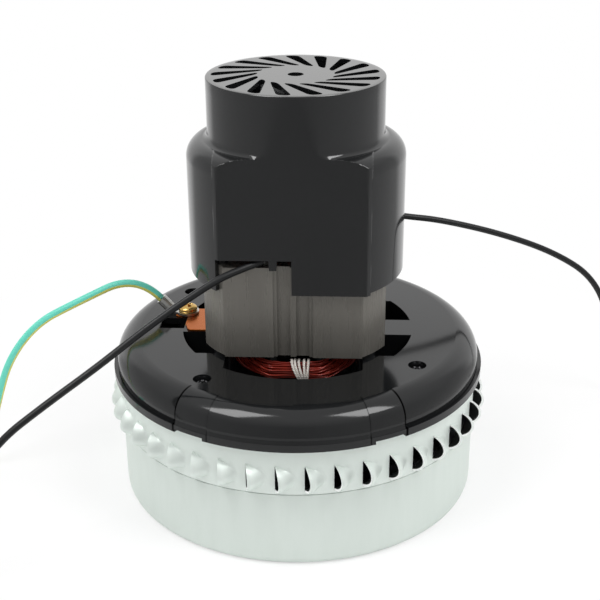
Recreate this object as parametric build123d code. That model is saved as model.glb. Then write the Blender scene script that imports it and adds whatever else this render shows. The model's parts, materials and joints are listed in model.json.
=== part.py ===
from build123d import *
import os
from math import cos, degrees, hypot, radians, sin, sqrt, tan

os.makedirs("parts", exist_ok=True)

STANDING = (Align.CENTER, Align.CENTER, Align.MIN)
CORNER = (Align.MIN, Align.MIN, Align.MIN)

# A two-stage vacuum motor that stands on its fan end, with its axis on Z and its front at -Y.
# The front has the notch in the cover and shows the field coil. All sizes are in millimetres.

# Fits and cuts
shell_gap = 0.3
seat_gap = 0.1
bearing_gap = 0.03
overrun = 2.0

# Fan shells, two steel cups that meet at a seam
shell_radius = 72.4
shell_wall = 0.9
shell_bevel = 2.2
stage_space = 14.2
upper_shell_height = 19.4
spigot_depth = 3.6
joggle_height = 1.2
inlet_radius = 24.0
inlet_curl = 2.6
inlet_lip = 1.4
seal_radius = 8.0

# Pressed louvres round the upper shell
louvre_count = 42
louvre_phase = -92.0
louvre_rise = 4.0
louvre_height = 10.7
louvre_length = 8.4
louvre_proud = 3.6
louvre_wall = 0.7
louvre_belly_share = 0.41
louvre_tail_proud = 0.35

# Stationary parts between the two fans
plate_wall = 0.8
second_eye_radius = 26.0
vane_disc_margin = 9.4
vane_disc_bore = 12.0
vane_disc_drop = 8.0
return_vane_count = 8
return_vane_inner = 30.0
return_vane_lean = 48.0

# Fan wheels
fan_margin = 6.9
fan_wall = 0.8
fan_eye_radius = 25.0
first_fan_depth = 10.2
second_fan_depth = 13.2
fan_vane_count = 7
fan_vane_inner = 28.0
fan_vane_lean = -62.0
fan_lift = 1.0
vane_bow_share = 0.31

# Shaft and what is stacked on it
shaft_radius = 4.0
shaft_fit = 0.05
spacer_radius = 6.6
nut_across = 12.0
nut_height = 5.0
washer_radius = 9.0
washer_height = 1.6
shaft_end = 2.0

# Fan-end bracket
bracket_overhang = 0.8
bracket_height = 14.6
bracket_round = 9.0
bracket_wall = 2.6
bracket_bevel = 4.0
lip_proud = 1.6
lip_height = 3.0
groove_height = 0.8
well_radius = 46.5
pad_proud = 0.6
pad_half_angles = (34.6, 23.3)
lip_notch_angle = 29.7
lip_notch_width = 12.6
lip_notch_height = 1.2
gusset_x = 26.5
gusset_y = 26.0
arm_width = 14.0
arm_pocket_length = 10.0
arm_pocket_width = 9.6
arm_pocket_x = -51.0
arm_pocket_y = 0.9
stator_lift = 1.4

# Screws that hold the bracket to the upper shell
screw_circle_share = 0.40465
screw_phase = 54.8
screw_count = 4
screw_head_radius = 3.2
screw_head_height = 2.4
screw_shank_radius = 1.9
screw_recess_depth = 4.6
screw_reach = 4.0
screw_boss_radius = 5.6

# Ball bearings, the same size at both ends
bearing_radius = 11.0
bearing_height = 7.0
inner_race_wall = 2.1
shield_gap = 0.25
hub_wall = 3.5
hub_floor = 1.6

# Bearing retainer
retainer_wall = 1.0
retainer_overlap = 1.2
retainer_ear_x = 18.0
retainer_ear_radius = 3.6
retainer_screw_radius = 1.3
retainer_head_radius = 2.4
retainer_head_height = 1.2
retainer_screw_depth = 6.0

# Stator laminations
stator_width = 70.0
stator_depth = 63.0
stator_corner_radius = 40.2
stator_flat = 52.6
stator_height = 37.0
bore_radius = 22.1
shoe_thickness = 3.2
window_reach = 29.2
window_half_height = 20.0
window_inner = 17.0
shoe_half_angle = 27.0
channel_width = 15.0
channel_depth = 0.8
groove_width = 5.0
groove_depth = 4.6
groove_offset = 3.6

# Through bolts at the stator's corners
bolt_x = 27.6
bolt_y = 24.0
bolt_radius = 1.7
bolt_head_radius = 2.9
bolt_head_height = 2.6
bolt_boss_radius = 3.8
bolt_fit = 0.2

# Field coils, each a saddle of wire round its pole
coil_radius = 29.0
coil_half_angle = 58.0
coil_crown_angle = 20.0
coil_crowns = (1.6, 0.2)
coil_overhangs = (7.4, 8.6)
coil_bend = 5.0
coil_crown_bend = 12.0
coil_core_radius = 2.1
coil_core_cut = 3.0
coil_wire_radius = 0.7
coil_wire_gap = 0.45
coil_turns = 5
coil_first_angle = -20.0
coil_turn_step = 45.0
wire_sides = 6
lacing_width = 1.3
lacing_thickness = 0.7
lacing_pitch = 3.0
lacing_count = 3
liner_wall = 0.3

# Armature and commutator
armature_radius = 21.4
armature_height = 35.0
armature_slots = 12
armature_slot_width = 2.4
armature_slot_depth = 9.0
armature_mouth_width = 1.2
armature_tooth_tip = 1.2
winding_radius = 19.4
winding_inner = 6.5
winding_overhangs = (5.4, 6.6)
winding_taper_angle = 20.0
commutator_radius = 12.0
commutator_height = 15.0
commutator_bars = 16
commutator_slit = 0.5
commutator_slit_depth = 1.0
commutator_bore = 6.0
riser_radius = 13.2
riser_height = 2.2
commutator_lift = 2.4

# Commutator bracket, on top of the stator
foot_height = 2.8
rail_inner = 30.2
upright_wall = 3.0
upright_width = 22.0
bridge_wall = 2.6
brush_lift = 9.1

# Brushes and their holders, the same on both sides
brush_width = 6.2
brush_tall = 10.0
brush_length = 15.0
brush_face_gap = 0.15
brush_play = 0.2
holder_wall = 0.9
holder_start = 14.6
holder_length = 22.6
holder_end_wall = 1.2
spring_outer = 2.4
spring_inner = 1.9
terminal_width = 4.8
terminal_wall = 0.8
terminal_height = 7.0

# Cover over the motor
cover_radius = 42.0
cover_wall = 1.5
cover_round = 7.0
hollow_bevel_share = 0.6
cover_overlap = 11.2
cap_radius = 33.8
cap_wall = 1.8
cap_height = 23.1
shoulder_clearance = 6.0
shoulder_drop = 0.4
block_half_width = 29.0
block_clearance = 2.6
block_wall = 2.2
block_side_wall = 2.0
block_bevel = 1.4
block_round = 9.4
notch_lift = 3.6
notch_right = -1.75
grille_wall = 2.5
grille_slots = 17
grille_phase = -94.5
grille_inner = 14.6
grille_outer = 31.2
grille_sweep = 26.0
grille_wide = 5.3
grille_narrow = 2.6
grille_corner = 1.2
grille_hole_radius = 3.0
clip_width = 5.0
clip_height = 4.4
clip_x = -7.5

# Cooling fan inside the cap
cooler_radius = 29.0
cooler_hub_radius = 8.0
cooler_wall = 1.6
cooler_height = 12.0
cooler_lift = 1.6
cooler_blades = 9
cooler_nut_height = 4.0

# Grounding at the left arm
ground_x = -46.1
ground_y = 9.8
strap_wall = 0.8
strap_width = 9.0
strap_leg = 9.0
ground_screw_radius = 2.0
ground_head_radius = 3.9
ground_head_height = 2.6
ground_boss_radius = 4.6
ground_screw_depth = 9.0
ring_terminal_radius = 4.6
ring_terminal_wall = 0.9
barrel_radius = 2.3
barrel_length = 6.0
barrel_lean = 42.0

# Leads, with their stripped ends
lead_radius = 1.35
ground_lead_radius = 1.6
bare_length = 9.0
bare_radius_share = 0.7
lead_sides = 6
bend_room_share = 0.45
splice_wall = 0.4
splice_length = 3.0

# Radii and depths worked out from the sizes above
vane_disc_radius = shell_radius - vane_disc_margin
fan_radius = shell_radius - fan_margin
bracket_radius = shell_radius + bracket_overhang
lip_radius = bracket_radius + lip_proud
flange_ring = bracket_radius - well_radius - 2 * bracket_wall
screw_circle = well_radius + bracket_wall + flange_ring * screw_circle_share
block_depth = stator_depth / 2 + block_clearance

# Heights worked out from the sizes above
first_fan_base = inlet_curl + inlet_lip + fan_lift
first_fan_top = first_fan_base + first_fan_depth + 2 * fan_wall
lower_shell_height = first_fan_top + stage_space
shell_top = lower_shell_height + upper_shell_height
spigot_radius = shell_radius - shell_wall - shell_gap
plate_top = lower_shell_height - spigot_depth - seat_gap
plate_bottom = plate_top - plate_wall
bracket_base = shell_top
bracket_top = bracket_base + bracket_height
well_floor = bracket_base + bracket_wall
stator_base = bracket_top + stator_lift
stator_top = stator_base + stator_height
lower_bearing_base = bracket_base + hub_floor
lower_hub_top = lower_bearing_base + bearing_height + seat_gap
armature_base = stator_base + (stator_height - armature_height) / 2
armature_top = armature_base + armature_height
commutator_base = armature_top + winding_overhangs[1] + commutator_lift
brush_height = commutator_base + brush_lift
foot_top = stator_top + foot_height
bridge_top = brush_height + brush_tall / 2 + 2 * holder_wall + 2 * bridge_wall
bridge_base = bridge_top - bridge_wall
upper_bearing_base = bridge_top - seat_gap
shoulder_height = upper_bearing_base + bearing_height + seat_gap + shoulder_clearance
cover_height = shoulder_height + cap_height
cover_bottom = stator_top - cover_overlap
notch_height = stator_top + notch_lift
hub_radius = bearing_radius + hub_wall
second_fan_base = plate_top + fan_lift
second_fan_top = second_fan_base + second_fan_depth + 2 * fan_wall
cooler_base = shoulder_height + cooler_lift
coil_low = stator_base - coil_overhangs[0]
coil_high = stator_top + coil_overhangs[1]
ring_seat = bracket_top + strap_wall + 2 * seat_gap


def polar(radius, angle, height=0):
    """A point at a radius and an angle in degrees about the motor's axis."""
    return (radius * cos(radians(angle)), radius * sin(radians(angle)), height)


def turned(points, radii=None, arc=360):
    """A solid turned about the axis from an outline of (radius, height) points."""
    if radii:
        outline = FilletPolyline(*points, radius=radii, close=True)
    else:
        outline = Polyline(*points, close=True)
    return revolve(Plane.XZ * make_face(outline), Axis.Z, arc)


def ring(outer, inner, bottom, top):
    """A plain round ring about the axis."""
    return turned([(inner, bottom), (outer, bottom), (outer, top), (inner, top)])


def post(radius, bottom, top, x=0, y=0):
    """An upright round bar."""
    return Pos(x, y, bottom) * Cylinder(radius, top - bottom, align=STANDING)


def block(x_span, y_span, z_span):
    """A box from its limits along each axis."""
    size = [high - low for low, high in (x_span, y_span, z_span)]
    return Pos(x_span[0], y_span[0], z_span[0]) * Box(*size, align=CORNER)


def around(shape, count, phase=0):
    """Copies of a shape, evenly spaced about the axis."""
    return [Rot(0, 0, phase + 360 * i / count) * shape for i in range(count)]


def both_ends(shape):
    """A shape and its copy half a turn round the axis."""
    return [shape, Rot(0, 0, 180) * shape]


def corner_places(x, y):
    """The four corners of a rectangle about the axis."""
    return [(sx * x, sy * y) for sx in (-1, 1) for sy in (-1, 1)]


def write(name, *solids):
    """Writes one named piece, which may be a group of separate solids."""
    loose = [solid for shape in solids for solid in shape.solids()]
    export_step(Compound(children=loose) if len(loose) > 1 else loose[0], f"parts/{name}.step")


# Fan shells

def lower_fan_shell():
    """The lower cup, with a rolled inlet eye in its floor."""
    eye = inlet_radius
    points = [
        (eye, inlet_curl),
        (eye + inlet_curl, 0),
        (shell_radius - shell_bevel, 0),
        (shell_radius, shell_bevel),
        (shell_radius, lower_shell_height),
        (shell_radius - shell_wall, lower_shell_height),
        (shell_radius - shell_wall, shell_bevel + shell_wall / 2),
        (shell_radius - shell_bevel - shell_wall / 2, shell_wall),
        (eye + inlet_curl + shell_wall / 2, shell_wall),
        (eye + shell_wall, inlet_curl),
        (eye + shell_wall, inlet_curl + inlet_lip),
        (eye, inlet_curl + inlet_lip),
    ]
    return turned(points)


def louvre_form(inset, length):
    """One louvre's form, or the hollow in it: a D-shaped mouth that narrows along the wall."""
    bottom = lower_shell_height + louvre_rise + inset
    top = lower_shell_height + louvre_rise + louvre_height - inset
    belly = bottom + (top - bottom) * louvre_belly_share
    proud = louvre_proud - inset
    fall = shell_radius - sqrt(shell_radius**2 - louvre_length**2)
    slope = (louvre_proud - louvre_tail_proud + fall) / louvre_length
    halves = []
    for edge in (bottom, top):
        radius = (proud**2 + (edge - belly) ** 2) / (2 * proud)
        cone = Rot(-90, 0, 0) * Cone(radius, radius - slope * length, length, align=STANDING)
        cone = Pos(shell_radius + proud - radius, 0, belly) * cone
        middle = shell_radius + proud
        halves.append(cone & block((0, middle), (0, length), sorted((belly, 2 * edge - belly))))
    return halves[0] + halves[1]


def upper_fan_shell():
    """The upper cup, with a spigot inside the lower one and a ring of louvres."""
    bottom = lower_shell_height + shell_gap
    inner = shell_radius - shell_wall
    spigot_inner = spigot_radius - shell_wall
    cup = turned([
        (seal_radius, shell_top),
        (shell_radius, shell_top),
        (shell_radius, bottom),
        (spigot_radius, bottom),
        (spigot_radius, lower_shell_height - spigot_depth),
        (spigot_inner, lower_shell_height - spigot_depth),
        (spigot_inner, bottom + shell_wall),
        (inner, bottom + shell_wall + joggle_height),
        (inner, shell_top - shell_wall),
        (seal_radius, shell_top - shell_wall),
    ])
    hood = louvre_form(0, louvre_length) - post(shell_radius - shell_wall / 2, 0, shell_top)
    hollow = louvre_form(louvre_wall, louvre_length - 2 * louvre_wall)
    hollow -= post(inner - shell_wall, 0, shell_top)
    cup = cup.fuse(*around(hood, louvre_count, louvre_phase))
    cup = cup.cut(*around(hollow, louvre_count, louvre_phase))
    hole = post(screw_shank_radius + seat_gap, bottom, shell_top + overrun, screw_circle)
    return cup.cut(*[Rot(0, 0, angle) * hole for angle in screw_angles()])


def screw_angles():
    """The directions of the screws that hold the bracket to the shell."""
    return [screw_phase + 360 * i / screw_count for i in range(screw_count)]


# Stationary parts between the fans

def curved_vanes(count, inner, outer, lean, wall, bottom, top, phase=0):
    """Thin curved vanes that lean back from an inner to an outer radius."""
    middle = (inner + outer) / 2
    bow = lean * vane_bow_share * 2 * middle / outer
    spine = ThreePointArc(polar(inner, 0), polar(middle, bow), polar(outer, lean))
    vane = extrude(Pos(0, 0, bottom) * trace(spine, wall), top - bottom)
    return around(vane, count, phase)


def stationary_fan_plate():
    """The plate that parts the two stages, on a skirt that stands in the lower shell."""
    foot = shell_wall + shell_bevel + shell_gap
    inner = spigot_radius - plate_wall
    return turned([
        (second_eye_radius, plate_bottom),
        (inner, plate_bottom),
        (inner, foot),
        (spigot_radius, foot),
        (spigot_radius, plate_top),
        (second_eye_radius, plate_top),
    ])


def return_vane_disc():
    """The disc under the plate, whose vanes lead the air back to the middle."""
    top = plate_bottom - vane_disc_drop
    disc = ring(vane_disc_radius, vane_disc_bore, top - plate_wall, top)
    vanes = curved_vanes(
        return_vane_count,
        return_vane_inner,
        vane_disc_radius - 2 * plate_wall,
        return_vane_lean,
        plate_wall,
        top - plate_wall / 2,
        plate_bottom,
    )
    return disc.fuse(*vanes)


# Fan wheels

def fan_wheel(base, depth):
    """A wheel as its front plate, its vanes and its back plate, from the bottom up."""
    vane_base = base + fan_wall
    vane_top = vane_base + depth
    front = ring(fan_radius, fan_eye_radius, base, vane_base)
    vanes = curved_vanes(
        fan_vane_count,
        fan_vane_inner,
        fan_radius - 2 * fan_wall,
        fan_vane_lean,
        fan_wall,
        vane_base,
        vane_top,
    )
    back = ring(fan_radius, shaft_radius + shaft_fit, vane_top, vane_top + fan_wall)
    return front, vanes, back


def hex_nut(bottom, height):
    """A hexagon nut on the shaft."""
    nut = extrude(Pos(0, 0, bottom) * RegularPolygon(nut_across / 2, 6, major_radius=False), height)
    return nut - post(shaft_radius + shaft_fit, bottom - overrun, bottom + height + overrun)


def shaft_spacer(bottom, top):
    """A plain spacer tube on the shaft."""
    return ring(spacer_radius, shaft_radius + shaft_fit, bottom, top)


def shaft():
    """The shaft, with a bevel at each end."""
    bottom = first_fan_top - fan_wall - washer_height - nut_height - shaft_end
    top = cooler_base + cooler_wall + cooler_nut_height + shaft_end
    bar = post(shaft_radius, bottom, top)
    return chamfer(bar.edges().filter_by(GeomType.CIRCLE), shaft_radius / 6)


# Bearings

def bearing_outer(base):
    """The outer race with its shields, which close the bearing, so it is solid inside."""
    shield_inner = shaft_radius + shaft_fit + inner_race_wall + shield_gap
    return ring(bearing_radius, shield_inner, base, base + bearing_height)


def bearing_inner(base):
    """The inner race, which turns with the shaft."""
    bore = shaft_radius + shaft_fit
    return ring(bore + inner_race_wall, bore, base, base + bearing_height)


# Fan-end bracket

def bracket_profile(grow):
    """The bracket's side and its rounded shoulder, grown outwards for a raised pad."""
    low = bracket_base + lip_height + groove_height
    middle = bracket_radius - bracket_wall
    points = [
        (middle, low),
        (bracket_radius + grow, low),
        (bracket_radius + grow, bracket_top),
        (bracket_radius - 2 * bracket_round, bracket_top),
        (bracket_radius - 2 * bracket_round, bracket_top - bracket_wall / 2),
        (middle, bracket_top - bracket_wall - bracket_bevel),
    ]
    return points, [0, 0, bracket_round, 0, 0, 0]


def fan_end_bracket():
    """The black moulded flange, with its well, bearing hub, arms and corner gussets."""
    inner = bracket_radius - bracket_wall
    well_outer = well_radius + bracket_wall
    low = bracket_base + lip_height
    ceiling = bracket_top - bracket_wall
    points = [
        (seal_radius, bracket_base),
        (well_outer, bracket_base),
        (well_outer, ceiling),
        (inner - bracket_bevel, ceiling),
        (inner, ceiling - bracket_bevel),
        (inner, bracket_base),
        (lip_radius, bracket_base),
        (lip_radius, low),
        (shell_radius, low),
        (shell_radius, low + groove_height),
        (bracket_radius, low + groove_height),
        (bracket_radius, bracket_top),
        (well_radius, bracket_top),
        (well_radius, well_floor),
        (hub_radius, well_floor),
        (hub_radius, lower_hub_top),
        (bearing_radius + seat_gap, lower_hub_top),
        (bearing_radius + seat_gap, lower_bearing_base),
        (seal_radius, lower_bearing_base),
    ]
    radii = [0] * len(points)
    radii[points.index((bracket_radius, bracket_top))] = bracket_round
    body = turned(points, radii)

    added = []
    for step, half_angle in enumerate(pad_half_angles, start=1):
        pad = turned(*bracket_profile(step * pad_proud), arc=2 * half_angle)
        added += both_ends(Rot(0, 0, -90 - half_angle) * pad)
    well = post(well_radius + bracket_wall / 2, bracket_base + bracket_wall / 2, bracket_top)
    for sx, sy in corner_places(1, 1):
        corner = block(
            sorted((sx * gusset_x, sx * well_outer)),
            sorted((sy * gusset_y, sy * well_outer)),
            (bracket_base, bracket_top),
        )
        added.append(corner & well)
        boss = post(bolt_boss_radius, bracket_base + bracket_wall / 2, stator_base, sx * bolt_x, sy * bolt_y)
        added.append(boss)
    for side in (-1, 1):
        arm = block(
            sorted((side * rail_inner, side * well_outer)),
            (-arm_width / 2, arm_width / 2),
            (bracket_base, bracket_top),
        )
        added.append(arm & well)
        pad = block(
            sorted((side * rail_inner, side * stator_width / 2)),
            (-arm_width / 2, arm_width / 2),
            (well_floor, stator_base),
        )
        added.append(pad)
        ear = post(
            retainer_ear_radius, bracket_base + bracket_wall / 2, lower_hub_top, side * retainer_ear_x
        )
        added.append(ear)
    screw_boss = post(screw_boss_radius, bracket_base, ceiling + bracket_wall / 2, screw_circle)
    for angle in screw_angles():
        added.append(Rot(0, 0, angle) * screw_boss)
    added.append(post(ground_boss_radius, bracket_base, bracket_top, ground_x, ground_y))
    body = body.fuse(*added)

    cuts = [arm_pocket()]
    for angle in screw_angles():
        cuts.append(Rot(0, 0, angle) * bracket_screw_hole())
    for x, y in corner_places(bolt_x, bolt_y):
        cuts.append(post(bolt_radius + bolt_fit, well_floor, stator_base + overrun, x, y))
    for side in (-1, 1):
        x = side * retainer_ear_x
        cuts.append(post(retainer_screw_radius + seat_gap, well_floor, lower_hub_top + overrun, x))
        notch = turned(
            [
                (shell_radius + seat_gap, bracket_base - overrun),
                (lip_radius + overrun, bracket_base - overrun),
                (lip_radius + overrun, bracket_base + lip_notch_height),
                (shell_radius + seat_gap, bracket_base + lip_notch_height),
            ],
            arc=degrees(lip_notch_width / lip_radius),
        )
        middle = degrees(lip_notch_width / lip_radius) / 2
        cuts.append(Rot(0, 0, -90 + side * lip_notch_angle - middle) * notch)
    ground_hole = bracket_top - ground_screw_depth
    cuts.append(post(ground_screw_radius + seat_gap, ground_hole, bracket_top + overrun, ground_x, ground_y))
    return body.cut(*cuts)


def bracket_screw_hole():
    """A recessed hole for one bracket screw."""
    head_seat = bracket_top - screw_recess_depth
    hole = post(screw_shank_radius + seat_gap, bracket_base - overrun, bracket_top, screw_circle)
    recess = post(screw_head_radius + shell_gap, head_seat, bracket_top + overrun, screw_circle)
    return hole + recess


def arm_pocket():
    """The square opening in the flange beside the left arm."""
    return block(
        (arm_pocket_x - arm_pocket_length / 2, arm_pocket_x + arm_pocket_length / 2),
        (arm_pocket_y - arm_pocket_width / 2, arm_pocket_y + arm_pocket_width / 2),
        (bracket_base + bracket_wall, bracket_top + overrun),
    )


def round_screw(x, y, seat, head_radius, head_height, shank_radius, tip):
    """A round-headed screw that sits at a height and reaches down to its tip."""
    head = post(head_radius, seat, seat + head_height, x, y)
    return head + post(shank_radius, tip, seat, x, y)


def bearing_retainer():
    """The flat plate that keeps the lower bearing in its hub."""
    top = lower_hub_top + retainer_wall
    outline = Circle(hub_radius)
    for side in (-1, 1):
        outline += Pos(side * retainer_ear_x, 0) * Circle(retainer_ear_radius)
        outline += Pos(side * retainer_ear_x / 2, 0) * Rectangle(retainer_ear_x, 2 * retainer_ear_radius)
    outline -= Circle(bearing_radius - retainer_overlap)
    for side in (-1, 1):
        outline -= Pos(side * retainer_ear_x, 0) * Circle(retainer_screw_radius + seat_gap)
    return extrude(Pos(0, 0, lower_hub_top) * outline, retainer_wall)


# Stator

def stator_outline():
    """The outline of one lamination, before its bore and windows."""
    body = Rectangle(stator_width, stator_depth) & Circle(stator_corner_radius)
    return body + Rectangle(stator_flat, stator_depth)


def stator_laminations():
    """The stack of laminations, with two poles, two windows and the grooves at the back iron."""
    sheet = stator_outline() - Circle(bore_radius)
    window = Rectangle(2 * window_reach, 2 * window_half_height)
    window -= Rectangle(2 * window_inner, 2 * window_half_height + overrun)
    window -= Circle(bore_radius + shoe_thickness)
    reach = window_reach * tan(radians(shoe_half_angle))
    for side in (-1, 1):
        corners = [(0, 0), (side * window_reach, reach), (side * window_reach, -reach)]
        window += make_face(Polyline(*corners, close=True))
    sheet -= window
    for side in (-1, 1):
        face = side * stator_depth / 2
        sheet -= Pos(0, face) * Rectangle(channel_width, 2 * channel_depth)
        for x in (-groove_offset, groove_offset):
            inner = face - side * (groove_depth - groove_width / 2)
            sheet -= Pos(x, inner) * Circle(groove_width / 2)
            sheet -= Pos(x, (inner + face) / 2) * Rectangle(groove_width, abs(face - inner))
    for x, y in corner_places(bolt_x, bolt_y):
        sheet -= Pos(x, y) * Circle(bolt_radius + bolt_fit)
    return extrude(Pos(0, 0, stator_base) * sheet, stator_height)


def through_bolts():
    """The four long bolts through the stator's corners."""
    tip = well_floor + bolt_head_height
    return [
        round_screw(x, y, foot_top, bolt_head_radius, bolt_head_height, bolt_radius, tip)
        for x, y in corner_places(bolt_x, bolt_y)
    ]


def saddle_corners(widen, outward):
    """The corners of one turn of the front coil, for its offset from the middle of the bundle."""
    radius = coil_radius + outward
    half = coil_half_angle + degrees(widen / coil_radius)
    corners = []
    for height, crown, side in (
        (coil_low - widen, radius + coil_crowns[0], -1),
        (coil_high + widen, radius + coil_crowns[1], 1),
    ):
        corners += [
            polar(radius, -90 + side * half, height),
            polar(crown, -90 + side * coil_crown_angle, height),
            polar(crown, -90 - side * coil_crown_angle, height),
            polar(radius, -90 - side * half, height),
        ]
    return corners


def coil_core():
    """The inner turns of the front coil, as one plain bundle with its corners cut."""
    corners = [Vector(*corner) for corner in saddle_corners(0, 0)]
    points = []
    for before, corner, after in zip(corners[-1:] + corners[:-1], corners, corners[1:] + corners[:1]):
        points.append(corner + (before - corner).normalized() * coil_core_cut)
        points.append(corner + (after - corner).normalized() * coil_core_cut)
    path = Polyline(*points, close=True)
    start = Plane(origin=path @ 0, z_dir=path % 0)
    return sweep(start * RegularPolygon(coil_core_radius, wire_sides), path, transition=Transition.RIGHT)


def coil_route():
    """The corners and bend radii of the outer layer of the front coil, one unbroken wire."""
    reach = coil_core_radius + coil_wire_gap + coil_wire_radius
    points, bends = [], []
    for turn in range(coil_turns):
        angle = radians(coil_first_angle + coil_turn_step * turn)
        corners = saddle_corners(reach * cos(angle), reach * sin(angle))
        points += [corners[-1]] + corners[:-1]
        bends += [coil_bend, coil_bend, coil_crown_bend, coil_crown_bend] * 2
    return points[1:], bends[2:-1]


def coil_winding():
    """The outer layer of the front coil, swept along its route."""
    points, bends = coil_route()
    path = FilletPolyline(*points, radius=bends)
    start = Plane(origin=path @ 0, z_dir=path % 0)
    print("field coil wire", round(path.length), "mm, least gap", round(least_gap(path), 2), "mm")
    return sweep(start * RegularPolygon(coil_wire_radius, wire_sides), path)


def least_gap(path):
    """The least gap between two turns of a coil, measured on points along its route."""
    count = int(path.length / coil_wire_radius)
    spots = [path @ (i / count) for i in range(count + 1)]
    apart = int(count / coil_turns / 3)
    nearest = min(
        (spots[i] - spots[j]).length
        for i in range(0, len(spots), 2)
        for j in range(i + apart, len(spots), 2)
    )
    return nearest - 2 * coil_wire_radius


def coil_lacing():
    """The string bands round the middle of each lower end turn."""
    inner = coil_core_radius + 2 * coil_wire_radius + 2 * coil_wire_gap
    outer = RegularPolygon(inner + lacing_thickness, wire_sides, major_radius=False)
    outline = outer - RegularPolygon(inner, wire_sides, major_radius=False)
    band = extrude(Plane.YZ * outline, lacing_width / 2, both=True)
    depth = (coil_radius + coil_crowns[0]) * cos(radians(coil_crown_angle))
    bands = []
    for i in range(lacing_count):
        x = (i - (lacing_count - 1) / 2) * lacing_pitch
        bands += both_ends(Pos(x, -depth, coil_low) * band)
    return bands


def slot_liners():
    """The paper liners between the coils and the iron, one on each side of each window."""
    outer = window_reach - seat_gap
    liner = block(
        (outer - liner_wall, outer),
        (seat_gap, window_half_height - seat_gap),
        (stator_base, stator_top),
    )
    flip = [liner, mirror(liner, Plane.XZ)]
    return [copy for part in flip for copy in both_ends(part)]


# Armature

def armature_core():
    """The turning stack of laminations, with slots for its winding."""
    sheet = Circle(armature_radius) - Circle(shaft_radius + shaft_fit)
    slot_outer = armature_radius - armature_tooth_tip
    slot_middle = slot_outer - armature_slot_depth / 2
    slot = Pos(slot_middle, 0) * Rectangle(armature_slot_depth, armature_slot_width)
    slot += Pos(armature_radius, 0) * Rectangle(2 * armature_tooth_tip + seat_gap, armature_mouth_width)
    for copy in around(slot, armature_slots):
        sheet -= copy
    return extrude(Pos(0, 0, armature_base) * sheet, armature_height)


def armature_windings():
    """The end turns of the armature winding, below and above the core, with a side for each slot."""
    outline = RegularPolygon(winding_radius, armature_slots) - Circle(winding_inner)
    below = extrude(Pos(0, 0, armature_base) * outline, -winding_overhangs[0], taper=winding_taper_angle)
    above = extrude(Pos(0, 0, armature_top) * outline, winding_overhangs[1], taper=winding_taper_angle)
    return below, above


def commutator():
    """The commutator, with its bars parted by slits and a riser at its foot."""
    top = commutator_base + commutator_height
    body = turned([
        (shaft_radius + shaft_fit, commutator_base),
        (riser_radius, commutator_base),
        (riser_radius, commutator_base + riser_height),
        (commutator_radius, commutator_base + riser_height),
        (commutator_radius, top),
        (shaft_radius + shaft_fit, top),
    ])
    middle = commutator_radius - commutator_slit_depth
    slit = block(
        (middle, riser_radius + overrun),
        (-commutator_slit / 2, commutator_slit / 2),
        (commutator_base - overrun, top + overrun),
    )
    return body.cut(*around(slit, commutator_bars))


# Commutator bracket and brushes

def holder_half(grow):
    """Half the width and half the height of a brush holder, grown by a gap."""
    margin = brush_play + holder_wall + grow
    return brush_width / 2 + margin, brush_tall / 2 + margin


def commutator_bracket():
    """The bracket on the stator that carries the brushes and the upper bearing."""
    pieces = []
    half_y, half_z = holder_half(seat_gap)
    inside = extrude(Pos(0, 0, stator_top) * stator_outline(), bridge_top)
    for side in (-1, 1):
        rail = block(
            sorted((side * rail_inner, side * (rail_inner + upright_wall))),
            (-bolt_y, bolt_y),
            (stator_top, foot_top),
        )
        upright = block(
            sorted((side * rail_inner, side * (rail_inner + upright_wall))),
            (-upright_width / 2, upright_width / 2),
            (stator_top, bridge_top),
        )
        pieces += [rail & inside, upright]
    for x, y in corner_places(bolt_x, bolt_y):
        pieces.append(post(bolt_boss_radius, stator_top, foot_top, x, y) & inside)
    span = rail_inner + upright_wall
    bridge = block((-span, span), (-upright_width / 2, upright_width / 2), (bridge_base, bridge_top))
    hub_top = upper_bearing_base + bearing_height + seat_gap
    hub = post(hub_radius, bridge_base, hub_top)
    body = bridge.fuse(hub, *pieces)
    reach = span + overrun
    cuts = [
        post(bearing_radius + seat_gap, upper_bearing_base, hub_top + overrun),
        post(seal_radius, bridge_base - overrun, hub_top),
        block((-reach, reach), (-half_y, half_y), (brush_height - half_z, brush_height + half_z)),
    ]
    for x, y in corner_places(bolt_x, bolt_y):
        cuts.append(post(bolt_radius + bolt_fit, stator_top - overrun, foot_top + overrun, x, y))
    return body.cut(*cuts)


def brush_holder():
    """The right brass holder, a square tube that is closed at its outer end."""
    half_y, half_z = holder_half(0)
    end = holder_start + holder_length
    tube = block((holder_start, end), (-half_y, half_y), (brush_height - half_z, brush_height + half_z))
    room_y = half_y - holder_wall
    room_z = half_z - holder_wall
    room = block(
        (holder_start - overrun, end - holder_end_wall),
        (-room_y, room_y),
        (brush_height - room_z, brush_height + room_z),
    )
    return tube - room


def carbon_brush():
    """The right carbon brush, hollowed to the commutator at its face."""
    start = commutator_radius - brush_width / 4
    end = commutator_radius + brush_face_gap + brush_length
    bar = block(
        (start, end),
        (-brush_width / 2, brush_width / 2),
        (brush_height - brush_tall / 2, brush_height + brush_tall / 2),
    )
    low = brush_height - brush_tall
    return bar - post(commutator_radius + brush_face_gap, low, low + 2 * brush_tall)


def brush_spring():
    """The spring behind the right brush, as a plain sleeve."""
    start = commutator_radius + 2 * brush_face_gap + brush_length
    end = holder_start + holder_length - holder_end_wall - brush_face_gap
    sleeve = Circle(spring_outer) - Circle(spring_inner)
    return extrude(Pos(start, 0, brush_height) * (Plane.YZ * sleeve), end - start)


def brush_terminal():
    """The tab on the outer end of the right holder."""
    end = holder_start + holder_length
    half_y, half_z = holder_half(0)
    return block(
        (end, end + terminal_wall),
        (-terminal_width / 2, terminal_width / 2),
        (brush_height - half_z - terminal_height / 2, brush_height + terminal_height / 2),
    )


# Cover

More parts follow.
